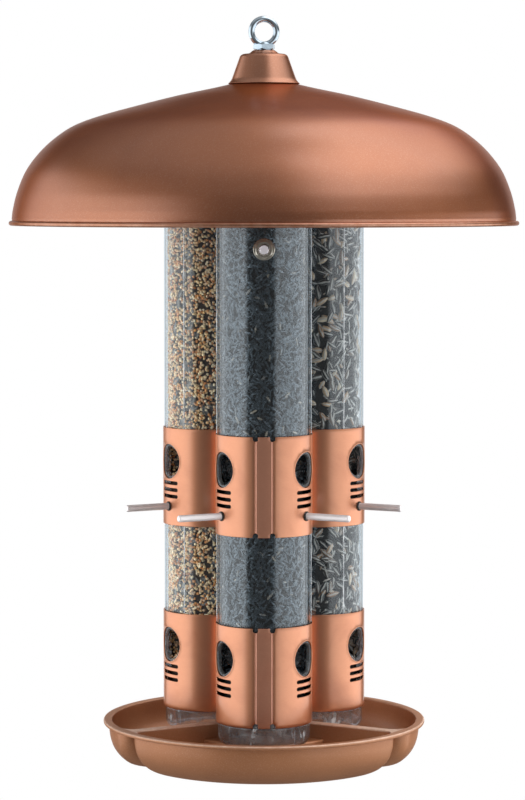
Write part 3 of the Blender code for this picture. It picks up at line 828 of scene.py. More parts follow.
def strip_mesh(level):
    """Seam strip: flat middle, two folded edges, rounded top and bottom."""
    z0, z1 = COLLAR_SPAN[level]
    half = math.radians(10.6) * COLLAR_R
    prof = [(-half - 0.15, -0.62), (-half, -0.5), (-half + 0.12, -0.42), (-half + 0.45, -0.34),
            (-half + 0.80, -0.22), (-half + 1.02, -0.02), (-half + 1.2, 0.05),
            (-half + 1.45, 0.0), (-half + 2.2, -0.02)]
    prof = prof + [(x, -0.02) for x in np.linspace(-half + 3.0, half - 3.0, 7)]
    prof = prof + [(-x, d) for x, d in prof[:9][::-1]]
    rows = []
    ends = [(0.0, -0.34), (0.04, -0.2), (0.16, -0.07), (0.34, 0.0)]
    zz = [(z0 + a, d) for a, d in ends]
    fine = [1.2, 2.0, 2.3, 2.6, 2.8, 2.95, 3.05, 3.12]
    zz += [(z0 + a, 0.0) for a in fine]
    zz += [(z, 0.0) for z in np.linspace(z0 + 3.6, z1 - 3.6, 20)]
    zz += [(z1 - a, 0.0) for a in fine[::-1]]
    zz += [(z1 - a, d) for a, d in ends[::-1]]
    verts, faces = [], []
    m = len(prof)
    for z, d in zz:
        near = min(z - z0, z1 - z)
        for s, lift in prof:
            s2 = s
            pull = 1.9 * (1.0 if near < 2.0 else math.sqrt(max(0.0, 1 - ((near - 2.0) / 1.1) ** 2)))
            lim = half - 0.15 - pull
            if near < 3.1 and abs(s) > lim - 0.3:
                over = abs(s) - (lim - 0.3)
                s2 = math.copysign(lim - 0.3 + min(over, 0.3 + 0.02 * over), s)
                lift = min(lift, -0.25)
            verts.append(wrap(s2, z, COLLAR_R + lift + d))
    for a in range(len(zz) - 1):
        for i in range(m - 1):
            faces.append((a * m + i, a * m + i + 1, (a + 1) * m + i + 1, (a + 1) * m + i))
    me = bpy.data.meshes.new("strip_" + level)
    me.from_pydata(verts, [], faces)
    bm = bmesh.new()
    bm.from_mesh(me)
    bmesh.ops.recalc_face_normals(bm, faces=bm.faces)
    if bm.faces[0].normal.x < 0:
        bmesh.ops.reverse_faces(bm, faces=bm.faces)
    bm.to_mesh(me)
    bm.free()
    return me


for lv in ("lower", "upper"):
    cm, sm = collar_mesh(lv), strip_mesh(lv)
    for k in TUBES:
        o = obj_of("copper_collar_%s_%s" % (lv, k), cm, "root", M["collar"], k, True, 45)
        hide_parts("collar_%s_%s" % (lv, k))
        o = obj_of("seam_band_%s_%s" % (lv, k), sm, "root", M["strip"], k, True, 60)
        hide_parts("seam_strip_%s_%s" % (lv, k))


# ----------------------------------------------------- tubes, bases and ports
def tube_mesh(key):
    ro, ri = TUBE_R, TUBE_R - TUBE_WALL
    zs = [TUBE_Z0, TUBE_Z0 + 0.4, 64, 98, 150, 168, 192, 224, 300, 346, 363, TUBE_Z1 - 0.5, TUBE_Z1]
    prof = [(ro - (0.4 if i in (0, len(zs) - 1) else 0), z) for i, z in enumerate(zs)]
    prof += [(ri + (0.3 if i in (0, len(zs) - 1) else 0), z) for i, z in reversed(list(enumerate(zs)))]
    v, f = lathe(prof, 120, True)
    tools = []
    for lv, z in PORT_Z.items():
        for d in PORT_DEG.values():
            a = math.radians(d)
            tools.append((cylinder_mesh("p", 11.5, (20 * math.cos(a), 20 * math.sin(a), z),
                                        (38 * math.cos(a), 38 * math.sin(a), z), 48), None))
    for d in PORT_DEG.values():
        a = math.radians(d)
        for z in PORT_Z.values():
            for drop in SLOT_DROPS:
                bx = [(x, y, zz) for x in (28.5, 36.0) for y in (-SLOT_W / 2, SLOT_W / 2)
                      for zz in (z - drop - SLOT_H / 2, z - drop + SLOT_H / 2)]
                bv = [(Matrix.Rotation(a, 4, "Z") @ Vector(q)) * MM for q in bx]
                tools.append((fixed(bv, [(0, 1, 3, 2), (4, 6, 7, 5), (0, 4, 5, 1), (2, 3, 7, 6),
                                         (0, 2, 6, 4), (1, 5, 7, 3)], "slot"), None))
        tools.append((cylinder_mesh("q", 2.7, (20 * math.cos(a), 20 * math.sin(a), PERCH_Z),
                                    (38 * math.cos(a), 38 * math.sin(a), PERCH_Z), 24), None))
    if key == "front":
        tools.append((cylinder_mesh("s", 3.45, (-36, 0, 354.5), (36, 0, 354.5), 28), None))
    return boolean("tube_wall_" + key, fixed(v, f, "t"), [("DIFFERENCE", joined("cuts", tools))])


base_prof = round_corners(
    [(0.0, 46.0), (29.5, 46.0), (29.5, 35.5), (31.2, 35.5), (31.2, 25.4), (29.8, 22.2),
     (26.8, 20.5), (24.0, 20.5), (24.0, 40.0), (0.0, 40.0)],
    [0, 0.5, 0.3, 0.8, 2.5, 2.2, 1.6, 0.5, 1.5, 0], 6)
for k in TUBES:
    me = tube_mesh(k)
    o = obj_of("tube_wall_" + k, me, "root", M["tube"], k, True, 30)
    o.data.materials.clear()
    o.data.materials.append(M["tube"])
    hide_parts("tube_" + k)
    o = turned("base_plug_" + k, base_prof, M["base"], "root", 120, False, k, 50)
    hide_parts("tube_base_" + k)

hood_n = 20
for lv, z in PORT_Z.items():
    for k in TUBES:
        for side, deg in PORT_DEG.items():
            # hood: part of a ball above the port, trimmed to the tube
            name = "port_baffle_%s_%s_%s" % (lv, k, side)
            rot = Matrix.Rotation(math.radians(deg), 4, "Z")
            low = math.acos(-6.5 / 13.2)
            prof = [(13.2 * math.sin(low * i / 14), 13.2 * math.cos(low * i / 14)) for i in range(15)]
            prof += [(r - 1.0 * math.sin(low * i / 14), h - 1.0 * math.cos(low * i / 14))
                     for i, (r, h) in reversed(list(enumerate(prof)))]
            v, f = lathe(prof, 48, True)
            ball = fixed(v, f, "ball")
            ball.transform(Matrix.Translation((27.0 * math.cos(math.radians(deg)) * MM,
                                               27.0 * math.sin(math.radians(deg)) * MM, z * MM)))
            iv, if_ = lathe([(0, z - 30), (29.4, z - 30), (29.4, z + 30), (0, z + 30)], 96)
            me = boolean("hood_mesh", ball, [("INTERSECT", fixed(iv, if_, "in"))])
            o = obj_of("port_hood_%s_%s_%s" % (lv, k, side), me, "root", M["hood"], k, True, 40)
            o.data.materials.clear()
            o.data.materials.append(M["hood"])
            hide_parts(name)
            # ring seen round the edge of the hole in the tube
            rv, rf = [], []
            R1 = 31.9
            for g, r in ((11.55, R1), (11.2, R1 + 0.05), (10.4, R1 - 0.35), (10.0, R1 - 0.9),
                         (10.0, R1 - 2.6)):
                for x, y in circle(g, 56):
                    a = math.radians(deg) + math.asin(max(-1, min(1, x / 31.9)))
                    rv.append((r * math.cos(a) * MM, r * math.sin(a) * MM, (z + y) * MM))
            for a in range(4):
                for i in range(56):
                    j = (i + 1) % 56
                    rf.append((a * 56 + i, a * 56 + j, (a + 1) * 56 + j, (a + 1) * 56 + i))
            o = obj_from("port_ring_%s_%s_%s" % (lv, k, side), rv, rf, "root",
                         M["port_ring"], k, True, 60)

# perches
for k in TUBES:
    for side, deg in PORT_DEG.items():
        m = (Matrix.Rotation(math.radians(deg), 4, "Z")
             @ Matrix.Translation((0, 0, PERCH_Z * MM)) @ Matrix.Rotation(math.pi / 2, 4, "Y"))
        prof = round_corners([(0, 24.0), (1.9, 24.0), (2.35, 24.5), (2.35, 64.9), (1.75, 65.6),
                              (0, 65.6)], [0, 0.2, 0.3, 0.5, 0.5, 0], 5)
        v, f = lathe(prof, 40, False, m)
        o = obj_of("perch_rod_%s_%s" % (k, side), fixed(v, f, "perch"), "root", M["perch"], k,
                   True, 40)
        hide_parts("perch_%s_%s" % (k, side))
        # dark ring round the root of each perch: painted shade of the gap round the perch in its hole
        g = round_corners([(2.4, 32.9), (3.25, 32.95), (3.3, 33.25), (2.9, 33.5), (2.4, 33.5)],
                          0.2, 3)
        v, f = lathe(g, 36, True, m)
        o = obj_of("perch_seal_%s_%s" % (k, side), fixed(v, f, "hole_shade_ring"), "root", M["gasket"], k,
                   True, 50)


# ------------------------------------------------- rod, washers, nuts, studs
def thread(name, r, z0, z1, pitch=1.25, depth=0.28, n=28, matrix=None):
    """Threaded rod: a helical V thread swept up a cylinder."""
    rows = int((z1 - z0) / pitch * 4)
    verts, faces = [], []
    for i in range(rows + 1):
        for j in range(n):
            a = 2 * math.pi * j / n
            z = z0 + (z1 - z0) * i / rows
            ph = (z / pitch - j / n) % 1.0
            d = depth * (2 * abs(ph - 0.5))
            taper = min(1.0, (z - z0) / 0.6 + 0.35, (z1 - z) / 0.6 + 0.35)
            rr = (r - d) * (0.88 + 0.12 * min(1.0, taper))
            verts.append((rr * math.cos(a) * MM, rr * math.sin(a) * MM, z * MM))
    for i in range(rows):
        for j in range(n):
            k = (j + 1) % n
            faces.append((i * n + j, i * n + k, (i + 1) * n + k, (i + 1) * n + j))
    faces.append(tuple(range(n))[::-1])
    faces.append(tuple(rows * n + j for j in range(n)))
    if matrix is not None:
        verts = [tuple(matrix @ Vector(v)) for v in verts]
    return fixed(verts, faces, name)


rod = joined("centre_shaft", [
    (thread("r0", 3.175, 6.0, 24.0), None),
    (fixed(*lathe([(0, 24.0), (3.175, 24.0), (3.175, 452.0), (0, 452.0)], 40), "r1"), None),
    (thread("r2", 3.175, 452.0, 490.5), None)])
o = obj_of("centre_shaft", rod, "root", M["rod"], None, True, 40)
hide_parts("centre_rod")


def washer(name, node, r_out, r_in, mat, t, matrix, slot="hardware"):
    p = round_corners([(r_in, 0.25), (r_in + 0.25, 0), (r_out - 0.3, 0), (r_out, 0.3),
                       (r_out, t - 0.3), (r_out - 0.3, t), (r_in + 0.25, t), (r_in, t - 0.25)],
                      0.2, 3)
    v, f = lathe(p, 72, True, matrix)
    o = obj_of(name, fixed(v, f, name), "root", mat, None, True, 50)
    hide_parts(node)


for name, node in (("washer_tray", "tray_washer"), ("washer_support", "support_washer")):
    a, b = lo(node), hi(node)
    washer(name, node, 12.0, 3.55, M["hardware"], b[2] - a[2], Matrix.Translation((0, 0, a[2] * MM)))
for name, node in (("nut_tray", "tray_nut"), ("nut_support", "support_nut")):
    a, b = lo(node), hi(node)
    o = obj_of(name, hex_solid(name, 11.1, a[2], b[2], 0.7, 3.2), "root", M["hardware"], None,
               True, 30)
    o.data.materials.clear()
    o.data.materials.append(M["hardware"])
    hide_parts(node)
for key, sgn in (("front", -1), ("rear", 1)):
    face = Matrix.Rotation(math.radians(90.0 if sgn < 0 else -90.0), 4, "X")
    wn, nn, sn = "tie_washer_" + key, "tie_nut_" + key, "tie_stud_" + key
    a, b = lo(wn), hi(wn)
    y = b[1] if sgn < 0 else a[1]
    zc = (a[2] + b[2]) / 2
    washer("stud_washer_" + key, wn, (b[2] - a[2]) / 2, 3.45, M["hardware"], abs(b[1] - a[1]),
           Matrix.Translation((0, y * MM, zc * MM)) @ face)
    a, b = lo(nn), hi(nn)
    y = b[1] if sgn < 0 else a[1]
    me = hex_solid("stud_nut_" + key, 11.1, 0, abs(b[1] - a[1]), 0.75, 3.2)
    me.transform(Matrix.Translation((0, y * MM, zc * MM)) @ face)
    o = obj_of("stud_nut_" + key, me, "root", M["hardware"], None, True, 30)
    o.data.materials.clear()
    o.data.materials.append(M["hardware"])
    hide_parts(nn)
    a, b = lo(sn), hi(sn)
    length = b[1] - a[1]
    y = b[1] if sgn < 0 else a[1]
    me = thread("bolt_" + key, 3.1, 0, length, 1.25, 0.28, 28)
    me.transform(Matrix.Translation((0, y * MM, zc * MM)) @ face)
    o = obj_of("stud_rod_" + key, me, "root", M["stud"], None, True, 40)
    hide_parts(sn)
a, b = lo("hub_sleeve"), hi("hub_sleeve")
sv, sf = lathe(round_corners([(10.9, b[2]), (10.9, a[2]), (3.55, a[2]), (3.55, b[2])], 0.0, 1), 72, True)
hub = boolean("hub_core", fixed(sv, sf, "hub"), [
    ("DIFFERENCE", cylinder_mesh("hh", 3.4, (0, -13, 354.5), (0, 13, 354.5), 28))])
o = obj_of("hub_core", hub, "root", M["sleeve"], None, True, 40)
o.data.materials.clear()
o.data.materials.append(M["sleeve"])
bv = o.modifiers.new("edge", "BEVEL")
bv.width, bv.segments, bv.limit_method, bv.angle_limit = 0.0004, 2, "ANGLE", math.radians(60)
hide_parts("hub_sleeve")


# --------------------------------------------------------------------- seeds
def spindle(n_side=3, rings=((0.22, 0.85), (0.62, 0.8))):
    """Unit seed along X from 0 to 1, with UV-like coordinates per vertex."""
    v, uv = [(0, 0, 0)], [(0, 0)]
    for u, r in rings:
        for k in range(n_side):
            a = 2 * math.pi * k / n_side
            v.append((u, r * math.cos(a) / 2, r * math.sin(a) / 2))
            uv.append((u, k / n_side))
    v.append((1, 0, 0))
    uv.append((1, 0))
    f = []
    for k in range(n_side):
        f.append((0, 1 + (k + 1) % n_side, 1 + k))
    for q in range(len(rings) - 1):
        for k in range(n_side):
            a, b = 1 + q * n_side + k, 1 + q * n_side + (k + 1) % n_side
            c, d = a + n_side, b + n_side
            f += [(a, b, d), (a, d, c)]
    last = 1 + (len(rings) - 1) * n_side
    for k in range(n_side):
        f.append((last + k, last + (k + 1) % n_side, len(v) - 1))
    v = np.array(v, float)
    v[:, 0] -= 0.5
    return v, np.array(f, int), np.array(uv, float)


def pellet():
    """Low twelve-sided bead for millet."""
    bm = bmesh.new()
    bmesh.ops.create_icosphere(bm, subdivisions=1, radius=0.5)
    v = np.array([tuple(x.co) for x in bm.verts])
    f = np.array([[q.index for q in x.verts] for x in bm.faces])
    bm.free()
    return v, f, np.zeros((len(v), 2))


def scatter(kind, rng, n, z0, z1, depth, size, tilt, skip):
    """Placement matrices of n seeds lying against the inside of a tube."""
    ang = rng.uniform(0, 2 * math.pi, n)
    z = rng.uniform(z0, z1, n)
    keep = np.ones(n, bool)
    for a0, zc, half_s, half_z in skip:
        ds = (np.abs((ang - a0 + math.pi) % (2 * math.pi) - math.pi)) * 29.3
        keep &= ~((ds < half_s) & (np.abs(z - zc) < half_z))
    ang, z = ang[keep], z[keep]
    n = len(ang)
    length = rng.normal(size[0], size[0] * 0.10, n).clip(size[0] * 0.75, size[0] * 1.3)
    width = rng.normal(size[1], size[1] * 0.10, n).clip(size[1] * 0.75, size[1] * 1.25)
    thick = rng.normal(size[2], size[2] * 0.08, n).clip(size[2] * 0.8, size[2] * 1.2)
    roll = rng.uniform(0, math.pi, n)
    lean = rng.normal(0.0, tilt, n)
    # local axes: e_t (round), e_z, e_r (outward)
    er = np.stack([np.cos(ang), np.sin(ang), np.zeros(n)], 1)
    et = np.stack([-np.sin(ang), np.cos(ang), np.zeros(n)], 1)
    ez = np.tile(np.array([0.0, 0.0, 1.0]), (n, 1))
    x = et * np.cos(roll)[:, None] + ez * np.sin(roll)[:, None]
    y = -et * np.sin(roll)[:, None] + ez * np.cos(roll)[:, None]
    zc = er
    c, s = np.cos(lean)[:, None], np.sin(lean)[:, None]
    x2 = x * c + zc * s
    z2 = -x * s + zc * c
    # furthest out that the seed may stand so that its ends stay inside the wall
    reach = TUBE_R - TUBE_WALL - 0.12
    flat = length / 2 * np.abs(np.cos(roll)) * np.abs(np.cos(lean))
    out = np.sqrt(np.maximum(reach ** 2 - flat ** 2, 1.0)) - thick / 2
    out -= np.abs(np.sin(lean)) * length / 2
    r = np.minimum(out, reach - thick / 2) - rng.uniform(0.0, 1.0, n) ** 1.5 * depth
    pos = er * r[:, None]
    pos[:, 2] = z
    return pos, x2, y, z2, length, width, thick, rng.uniform(0, 1, n)


def seed_object(name, shape, placed, mat, key, extra=None):
    v0, f0, uv0 = shape
    pos, x, y, z, L, W, T, rnd = placed
    n, m = len(pos), len(v0)
    v = (pos[:, None, :] + x[:, None, :] * (v0[None, :, 0:1] * L[:, None, None])
         + y[:, None, :] * (v0[None, :, 1:2] * W[:, None, None])
         + z[:, None, :] * (v0[None, :, 2:3] * T[:, None, None])).reshape(-1, 3) * MM
    f = (f0[None, :, :] + (np.arange(n) * m)[:, None, None]).reshape(-1, 3)
    me = bpy.data.meshes.new(name)
    me.vertices.add(len(v))
    me.vertices.foreach_set("co", v.astype(np.float32).ravel())
    me.loops.add(len(f) * 3)
    me.loops.foreach_set("vertex_index", f.astype(np.int32).ravel())
    me.polygons.add(len(f))
    me.polygons.foreach_set("loop_start", np.arange(0, len(f) * 3, 3, dtype=np.int32))
    me.update(calc_edges=True)
    me.validate()
    a = me.attributes.new("seed", "FLOAT", "POINT")
    a.data.foreach_set("value", np.repeat(rnd, m).astype(np.float32))
    uv = me.attributes.new("along", "FLOAT", "POINT")
    uv.data.foreach_set("value", np.tile(uv0[:, 0], n).astype(np.float32))
    uv = me.attributes.new("round", "FLOAT", "POINT")
    uv.data.foreach_set("value", np.tile(uv0[:, 1], n).astype(np.float32))
    o = obj_of(name, me, "root", mat, key, True, 60)
    return o


def seed_material(name, stops, rough=0.55, stripes=None, bump=0.3, coat=0.0, coat_ior=1.5, **more):
    m = Mat(name)
    c = m.coords()
    rnd = seed_attr(m).outputs["Fac"]
    colour = m.ramp(rnd, stops, "LINEAR")
    grain = m.noise(c, 900.0, 3.0, 0.6)
    colour = m.mix(m.range(grain, 0.4, 0.75, 0.0, 0.5), colour,
                   m.mix(1.0, colour, (0.55, 0.5, 0.45), "MULTIPLY"))
    if stripes is not None:
        rd = seed_attr(m, "round").outputs["Fac"]
        wob = m.math("ADD", m.math("MULTIPLY", rd, stripes[0]),
                     m.math("MULTIPLY", m.noise(c, 300.0, 2.0, 0.5), 0.5))
        w = m.math("SINE", m.math("MULTIPLY", wob, 2 * math.pi))
        colour = m.mix(m.range(w, 0.1, 0.65, 0.0, 0.85), colour, stripes[1])
    r = m.range(grain, 0.3, 0.7, rough - 0.08, rough + 0.1)
    return m.shader(m.principled(colour=colour, rough=r, coat=coat, coat_rough=0.24,
                                 coat_ior=coat_ior, coat_tint=(0.86, 0.94, 1.0),
                                 normal=m.bump(grain, bump, 0.0004), **more))


M["nyjer"] = seed_material("nyjer_seed", [(0.0, (0.003, 0.005, 0.006)), (0.50, (0.009, 0.013, 0.016)),
                                          (0.80, (0.024, 0.033, 0.042)), (0.96, (0.06, 0.07, 0.08)),
                                          (1.0, (0.30, 0.25, 0.18))], 0.25, bump=0.2, ior=2.25,
                           edge=(0.70, 0.86, 1.0))
M["millet"] = seed_material("millet_seed", [(0.0, (0.96, 0.68, 0.34)), (0.25, (1.0, 0.86, 0.58)),
                                            (0.5, (0.84, 0.42, 0.14)), (0.68, (0.62, 0.23, 0.07)),
                                            (0.86, (1.0, 0.90, 0.68)), (1.0, (0.92, 0.58, 0.24))],
                            0.45, coat=0.1)
M["husk"] = seed_material("sunflower_husk", [(0.0, (0.008, 0.010, 0.010)), (0.5, (0.02, 0.024, 0.024)),
                                             (0.72, (0.07, 0.055, 0.04)), (0.84, (0.34, 0.17, 0.07)),
                                             (0.95, (0.60, 0.44, 0.28)), (1.0, (0.85, 0.74, 0.55))],
                          0.42, (4.0, (0.42, 0.40, 0.36)), coat=0.7, coat_ior=1.8)
M["black_husk"] = seed_material("black_husk", [(0.0, (0.02, 0.02, 0.022)), (0.6, (0.05, 0.05, 0.05)),
                                               (1.0, (0.14, 0.13, 0.12))],
                                0.42, (3.0, (0.30, 0.29, 0.27)), coat=0.3)
# near-black and dark brown core materials: painted shade in the gaps between the seeds
M["core_painted_shade"] = seed_material("seed_core_dark", [(0.0, (0.004, 0.005, 0.006)), (1.0, (0.012, 0.012, 0.014))],
                               0.8)
M["core_millet_painted_shade"] = seed_material("seed_core_millet", [(0.0, (0.035, 0.018, 0.009)), (1.0, (0.02, 0.012, 0.007))],
                                 0.8)

rng = np.random.default_rng(41)
SKIP = []
for lv, z in PORT_Z.items():
    for d in PORT_DEG.values():
        SKIP.append((math.radians(d) % (2 * math.pi), z, 11.5, 14.5))
BANDS = (("low", 98.0, 168.5), ("high", 226.5, 394.0))
# dark cylinder inside each tube behind the seeds: painted shade between the seeds
for k, core in (("front", "core_painted_shade"), ("right", "core_painted_shade"), ("left", "core_millet_painted_shade")):
    prof = [(0.0, 46.6), (27.2, 46.6)]
    prof += [(27.3, z) for z in np.linspace(50, 390, 30)] + [(26.6, 394.4), (0.0, 394.6)]
    v, f = lathe(prof, 60)
    base = fixed(v, f, "core")
    cuts = [(cylinder_mesh("c", 14.4, (13.2 * math.cos(math.radians(d)), 13.2 * math.sin(math.radians(d)), z),
                           (36 * math.cos(math.radians(d)), 36 * math.sin(math.radians(d)), z), 32), None)
            for z in PORT_Z.values() for d in PORT_DEG.values()]
    if k == "front":
        cuts.append((cylinder_mesh("c2", 3.6, (-34, 0, 354.5), (34, 0, 354.5), 20), None))
    me = boolean("seed_core_" + k, base, [("DIFFERENCE", joined("cc", cuts))])
    o = obj_of("seed_core_" + k, me, "root", M[core], k, True, 40)
    o.data.materials.clear()
    o.data.materials.append(M[core])
    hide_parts("seed_fill_" + k)

def shaving():
    """Narrow four-sided seed with one broad face outward, for nyjer."""
    sec = ((-0.34, 0.5), (0.34, 0.5), (0.5, -0.25), (-0.5, -0.25))
    v, uv = [(0, 0, 0.12)], [(0, 0)]
    for u, r in ((0.20, 0.92), (0.72, 1.0)):
        for k, (a, b) in enumerate(sec):
            v.append((u, a * r, b * r))
            uv.append((u, k / 4.0))
    v.append((1, 0, 0.12))
    uv.append((1, 0))
    f = []
    for k in range(4):
        n = (k + 1) % 4
        f += [(0, 1 + n, 1 + k), (1 + k, 1 + n, 5 + n), (1 + k, 5 + n, 5 + k), (9, 5 + k, 5 + n)]
    v = np.array(v, float)
    v[:, 0] -= 0.5
    return v, np.array(f, int), np.array(uv, float)


needle = shaving()
husk = spindle(8, ((0.07, 0.42), (0.22, 0.80), (0.42, 1.0), (0.62, 0.92), (0.82, 0.58)))
bead_shape = pellet()
for tag, z0, z1 in BANDS:
    area = 2 * math.pi * 29.3 * (z1 - z0)
    p = scatter("nyjer", rng, int(area / 4.6), z0, z1, 1.7, (6.0, 1.65, 1.25), 0.12, SKIP)
    seed_object("nyjer_seeds_" + tag, needle, p, M["nyjer"], "front")
    p = scatter("millet", rng, int(area / 3.1), z0, z1, 2.0, (2.25, 2.1, 1.9), 0.3, SKIP)
    seed_object("millet_seeds_" + tag, bead_shape, p, M["millet"], "left")
    p = scatter("mixed", rng, int(area / 130.0), z0 + 3, z1 - 3, 1.2, (9.5, 4.6, 3.2), 0.10, SKIP)
    seed_object("mixed_husks_" + tag, husk, p, M["black_husk"], "left")
    p = scatter("sun", rng, int(area / 13.0), z0 + 3, z1 - 3, 3.2, (10.2, 3.9, 2.9), 0.20, SKIP)
    seed_object("sunflower_seeds_" + tag, husk, p, M["husk"], "right")


def port_scatter(n, size, tilt):
    """Seeds lying against the outside of the hoods and heaped at the port sills."""
    pos, xs, ys, zs = [], [], [], []
    for lv, zc in PORT_Z.items():
        for deg in PORT_DEG.values():
            a = math.radians(deg)
            er = np.array([math.cos(a), math.sin(a), 0.0])
            et = np.array([-math.sin(a), math.cos(a), 0.0])
            ez = np.array([0.0, 0.0, 1.0])
            centre = er * 27.0 + ez * zc
            m = int(n * 0.72)
            cosp = rng.uniform(-0.55, 1.0, m)
            phi = rng.uniform(math.pi * 0.5, math.pi * 1.5, m)
            sinp = np.sqrt(1 - cosp ** 2)
            d = (er * (sinp * np.cos(phi))[:, None] + et * (sinp * np.sin(phi))[:, None]
                 + ez * cosp[:, None])
            r = 13.3 + size[2] / 2 + rng.uniform(0, 1.1, m) ** 2
            q = centre + d * r[:, None]
            k = int(n * 0.28)
            u, w = rng.uniform(16.5, 28.4, k), rng.uniform(-9.5, 9.5, k)
            ok = u ** 2 + w ** 2 < 28.6 ** 2
            u, w = u[ok], w[ok]
            slope = -7.4 - (u - 16.5) * 0.27
            q2 = er * u[:, None] + et * w[:, None] + ez * (zc + slope - rng.uniform(0, 1.2, len(u)))[:, None]
            d2 = np.tile(ez * 0.96 + er * 0.27, (len(u), 1))
            q, d = np.concatenate([q, q2]), np.concatenate([d, d2])
            t = rng.normal(0, 1, (len(q), 3))
            t -= d * (t * d).sum(1)[:, None]
            t /= np.linalg.norm(t, axis=1)[:, None]
            lean = rng.normal(0, tilt, len(q))[:, None]
            x = t * np.cos(lean) + d * np.sin(lean)
            z = -t * np.sin(lean) + d * np.cos(lean)
            y = np.cross(z, x)
            rr = np.hypot(q[:, 0], q[:, 1]) + size[0] * 0.5 * np.hypot(x[:, 0], x[:, 1])
            fit = rr < TUBE_R - TUBE_WALL - 0.2
            for lst, val in ((pos, q), (xs, x), (ys, y), (zs, z)):
                lst.append(val[fit])
    pos, xs, ys, zs = [np.concatenate(v) for v in (pos, xs, ys, zs)]
    m = len(pos)
    f = lambda v: np.full(m, v) * rng.uniform(0.85, 1.15, m)
    return pos, xs, ys, zs, f(size[0]), f(size[1]), f(size[2]), rng.uniform(0, 1, m)


seed_object("nyjer_in_ports", needle, port_scatter(520, (5.0, 1.45, 1.2), 0.2), M["nyjer"],
            "front")
seed_object("millet_in_ports", bead_shape, port_scatter(430, (2.2, 2.1, 1.9), 0.3), M["millet"],
            "left")
seed_object("sunflower_in_ports", husk, port_scatter(120, (7.5, 3.4, 2.6), 0.15), M["husk"],
            "right")

# mould rib down each side of every tube
for k in TUBES:
    vv, fc = [], []
    for sgn in (-1, 1):
        a = math.radians(87.0 * sgn)
        er, et = (math.cos(a), math.sin(a)), (-math.sin(a), math.cos(a))
        sec = [(31.75, -0.55), (31.95, -0.38), (32.02, 0.0), (31.95, 0.38), (31.75, 0.55)]
        base = len(vv)
        for z in (103.2, 163.1, 230.8, 404.0):
            for r, t in sec:
                vv.append(((r * er[0] + t * et[0]) * MM, (r * er[1] + t * et[1]) * MM, z * MM))
        for q in (0, 2):
            for i in range(4):
                b0, b1 = base + q * 5, base + (q + 1) * 5
                fc.append((b0 + i, b0 + i + 1, b1 + i + 1, b1 + i))
    o = obj_of("tube_rib_" + k, fixed(vv, fc, "rib"), "root", M["rib"], k, True, 60)


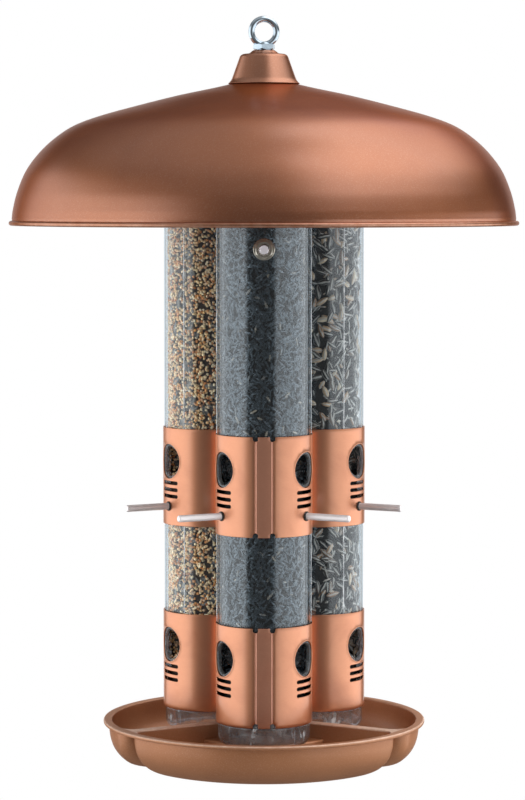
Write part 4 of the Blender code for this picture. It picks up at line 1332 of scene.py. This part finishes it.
# ----------------------------------------------------------- floor and light
def studio():
    w = bpy.data.worlds.new("studio")
    bpy.context.scene.world = w
    w.use_nodes = True
    nt = w.node_tree
    nt.nodes.clear()

    class W(Mat):
        def __init__(self):
            self.nt, self.m = nt, w
            self.out = nt.nodes.new("ShaderNodeOutputWorld")

    m = W()
    g = m.n("ShaderNodeTexCoord").outputs["Generated"]
    xyz = m.n("ShaderNodeSeparateXYZ", {"Vector": g})
    x, y, z = xyz.outputs
    az = m.math("MULTIPLY", m.math("ARCTAN2", x, m.math("MULTIPLY", y, -1.0)), 57.29578)
    el = m.math("MULTIPLY", m.math("ARCSINE", z), 57.29578)

    def window(v, a, b, s, s2=None):
        up = m.range(v, a - s, a + s, 0.0, 1.0, "SMOOTHSTEP")
        dn = m.range(v, b - (s2 or s), b + (s2 or s), 1.0, 0.0, "SMOOTHSTEP")
        return m.math("MULTIPLY", up, dn)

    def lamp(az_w, el_w, power):
        return m.math("MULTIPLY", m.math("MULTIPLY", az_w, el_w), power)

    total = m.math("ADD", m.range(el, 3.0, 17.0, 0.13, 0.12, "SMOOTHSTEP"),
                   m.range(el, 16.0, 65.0, 0.0, 0.28, "SMOOTHSTEP"))
    left = window(az, -138, -45, 10, 7)
    total = m.math("ADD", total, lamp(left, window(el, -34, 1, 14, 3), 1.20))
    total = m.math("ADD", total, lamp(window(az, -138, -40, 10, 16), window(el, 1, 25, 3, 9), 1.1))
    right = m.math("MULTIPLY", window(az, 28, 134, 6), m.range(az, 30, 100, 0.88, 1.45))
    total = m.math("ADD", total, lamp(right, window(el, -34, 5, 14, 5), 0.95))
    total = m.math("ADD", total, lamp(window(az, 26, 172, 18, 14), window(el, 27, 78, 12), 1.28))
    back = m.range(m.math("ABSOLUTE", az), 150.0, 160.0, 0.0, 1.0, "SMOOTHSTEP")
    total = m.math("ADD", total, lamp(back, window(el, -20, 15, 4), 0.85))
    diffuse = m.n("ShaderNodeLightPath").outputs["Is Diffuse Ray"]
    total = m.math("MULTIPLY", total, m.math("ADD", 1.0, m.math("MULTIPLY", diffuse, 2.0)))
    col = m.n("ShaderNodeCombineColor", {0: total, 1: total, 2: total}).outputs[0]
    light = m.n("ShaderNodeBackground", {"Color": col, "Strength": 1.0}).outputs[0]
    paper = m.n("ShaderNodeBackground", {"Color": (1, 1, 1, 1), "Strength": 1.0}).outputs[0]
    path = m.n("ShaderNodeLightPath").outputs["Is Camera Ray"]
    m.shader(m.n("ShaderNodeMixShader", {0: path, 1: light, 2: paper}).outputs[0])


studio()

fm = Mat("studio_floor")
fc = fm.coords()
dist = fm.n("ShaderNodeVectorMath", {0: fc}, operation="LENGTH").outputs["Value"]
fade = fm.range(dist, 0.75, 1.15, 0.0, 1.0, "SMOOTHSTEP")
under = fm.n("ShaderNodeNewGeometry").outputs["Backfacing"]
fade = fm.math("MAXIMUM", fade, under)
grain = fm.noise(fc, 60.0, 4.0, 0.6)
fcol = fm.mix(fm.range(grain, 0.3, 0.7, 0.0, 1.0), (0.86, 0.86, 0.855), (0.89, 0.89, 0.885))
mat_floor = fm.principled(colour=fcol, rough=0.85, spec=0.2)
seen = fm.n("ShaderNodeLightPath").outputs["Is Camera Ray"]
lift = fm.n("ShaderNodeEmission", {"Color": (1, 1, 1, 1), "Strength": 0.36}).outputs[0]
shown = fm.n("ShaderNodeAddShader", {0: mat_floor, 1: lift}).outputs[0]
dull = fm.n("ShaderNodeEmission", {"Color": (1, 1, 1, 1), "Strength": 0.34}).outputs[0]
both = fm.n("ShaderNodeMixShader", {0: seen, 1: dull, 2: shown}).outputs[0]
clear = fm.n("ShaderNodeBsdfTransparent").outputs[0]
fm.shader(fm.n("ShaderNodeMixShader", {0: fade, 1: both, 2: clear}).outputs[0])
fv, ff = lathe([(0.0, 0.0), (300.0, 0.0), (700.0, 0.0), (1180.0, 0.0)], 96)
floor = obj_from("studio_floor", fv, ff, None, fm.m, None, True)
floor.location = (0, 0, -0.40)
if floor.data.polygons[0].normal.z < 0:
    floor.data.flip_normals()

cam = bpy.data.cameras.new("camera")
cam.sensor_width = 36.0
cam.lens = 130.7
cam.clip_start, cam.clip_end = 0.05, 50.0
cam_o = bpy.data.objects.new("camera", cam)
COL.objects.link(cam_o)
cam_o.location = (-0.001, -1.9885, 0.3873)
cam_o.rotation_euler = (math.radians(90.0 - 3.95), 0.0, 0.0)
bpy.context.scene.camera = cam_o
bpy.context.scene.view_settings.view_transform = "Standard"

bpy.context.view_layer.update()
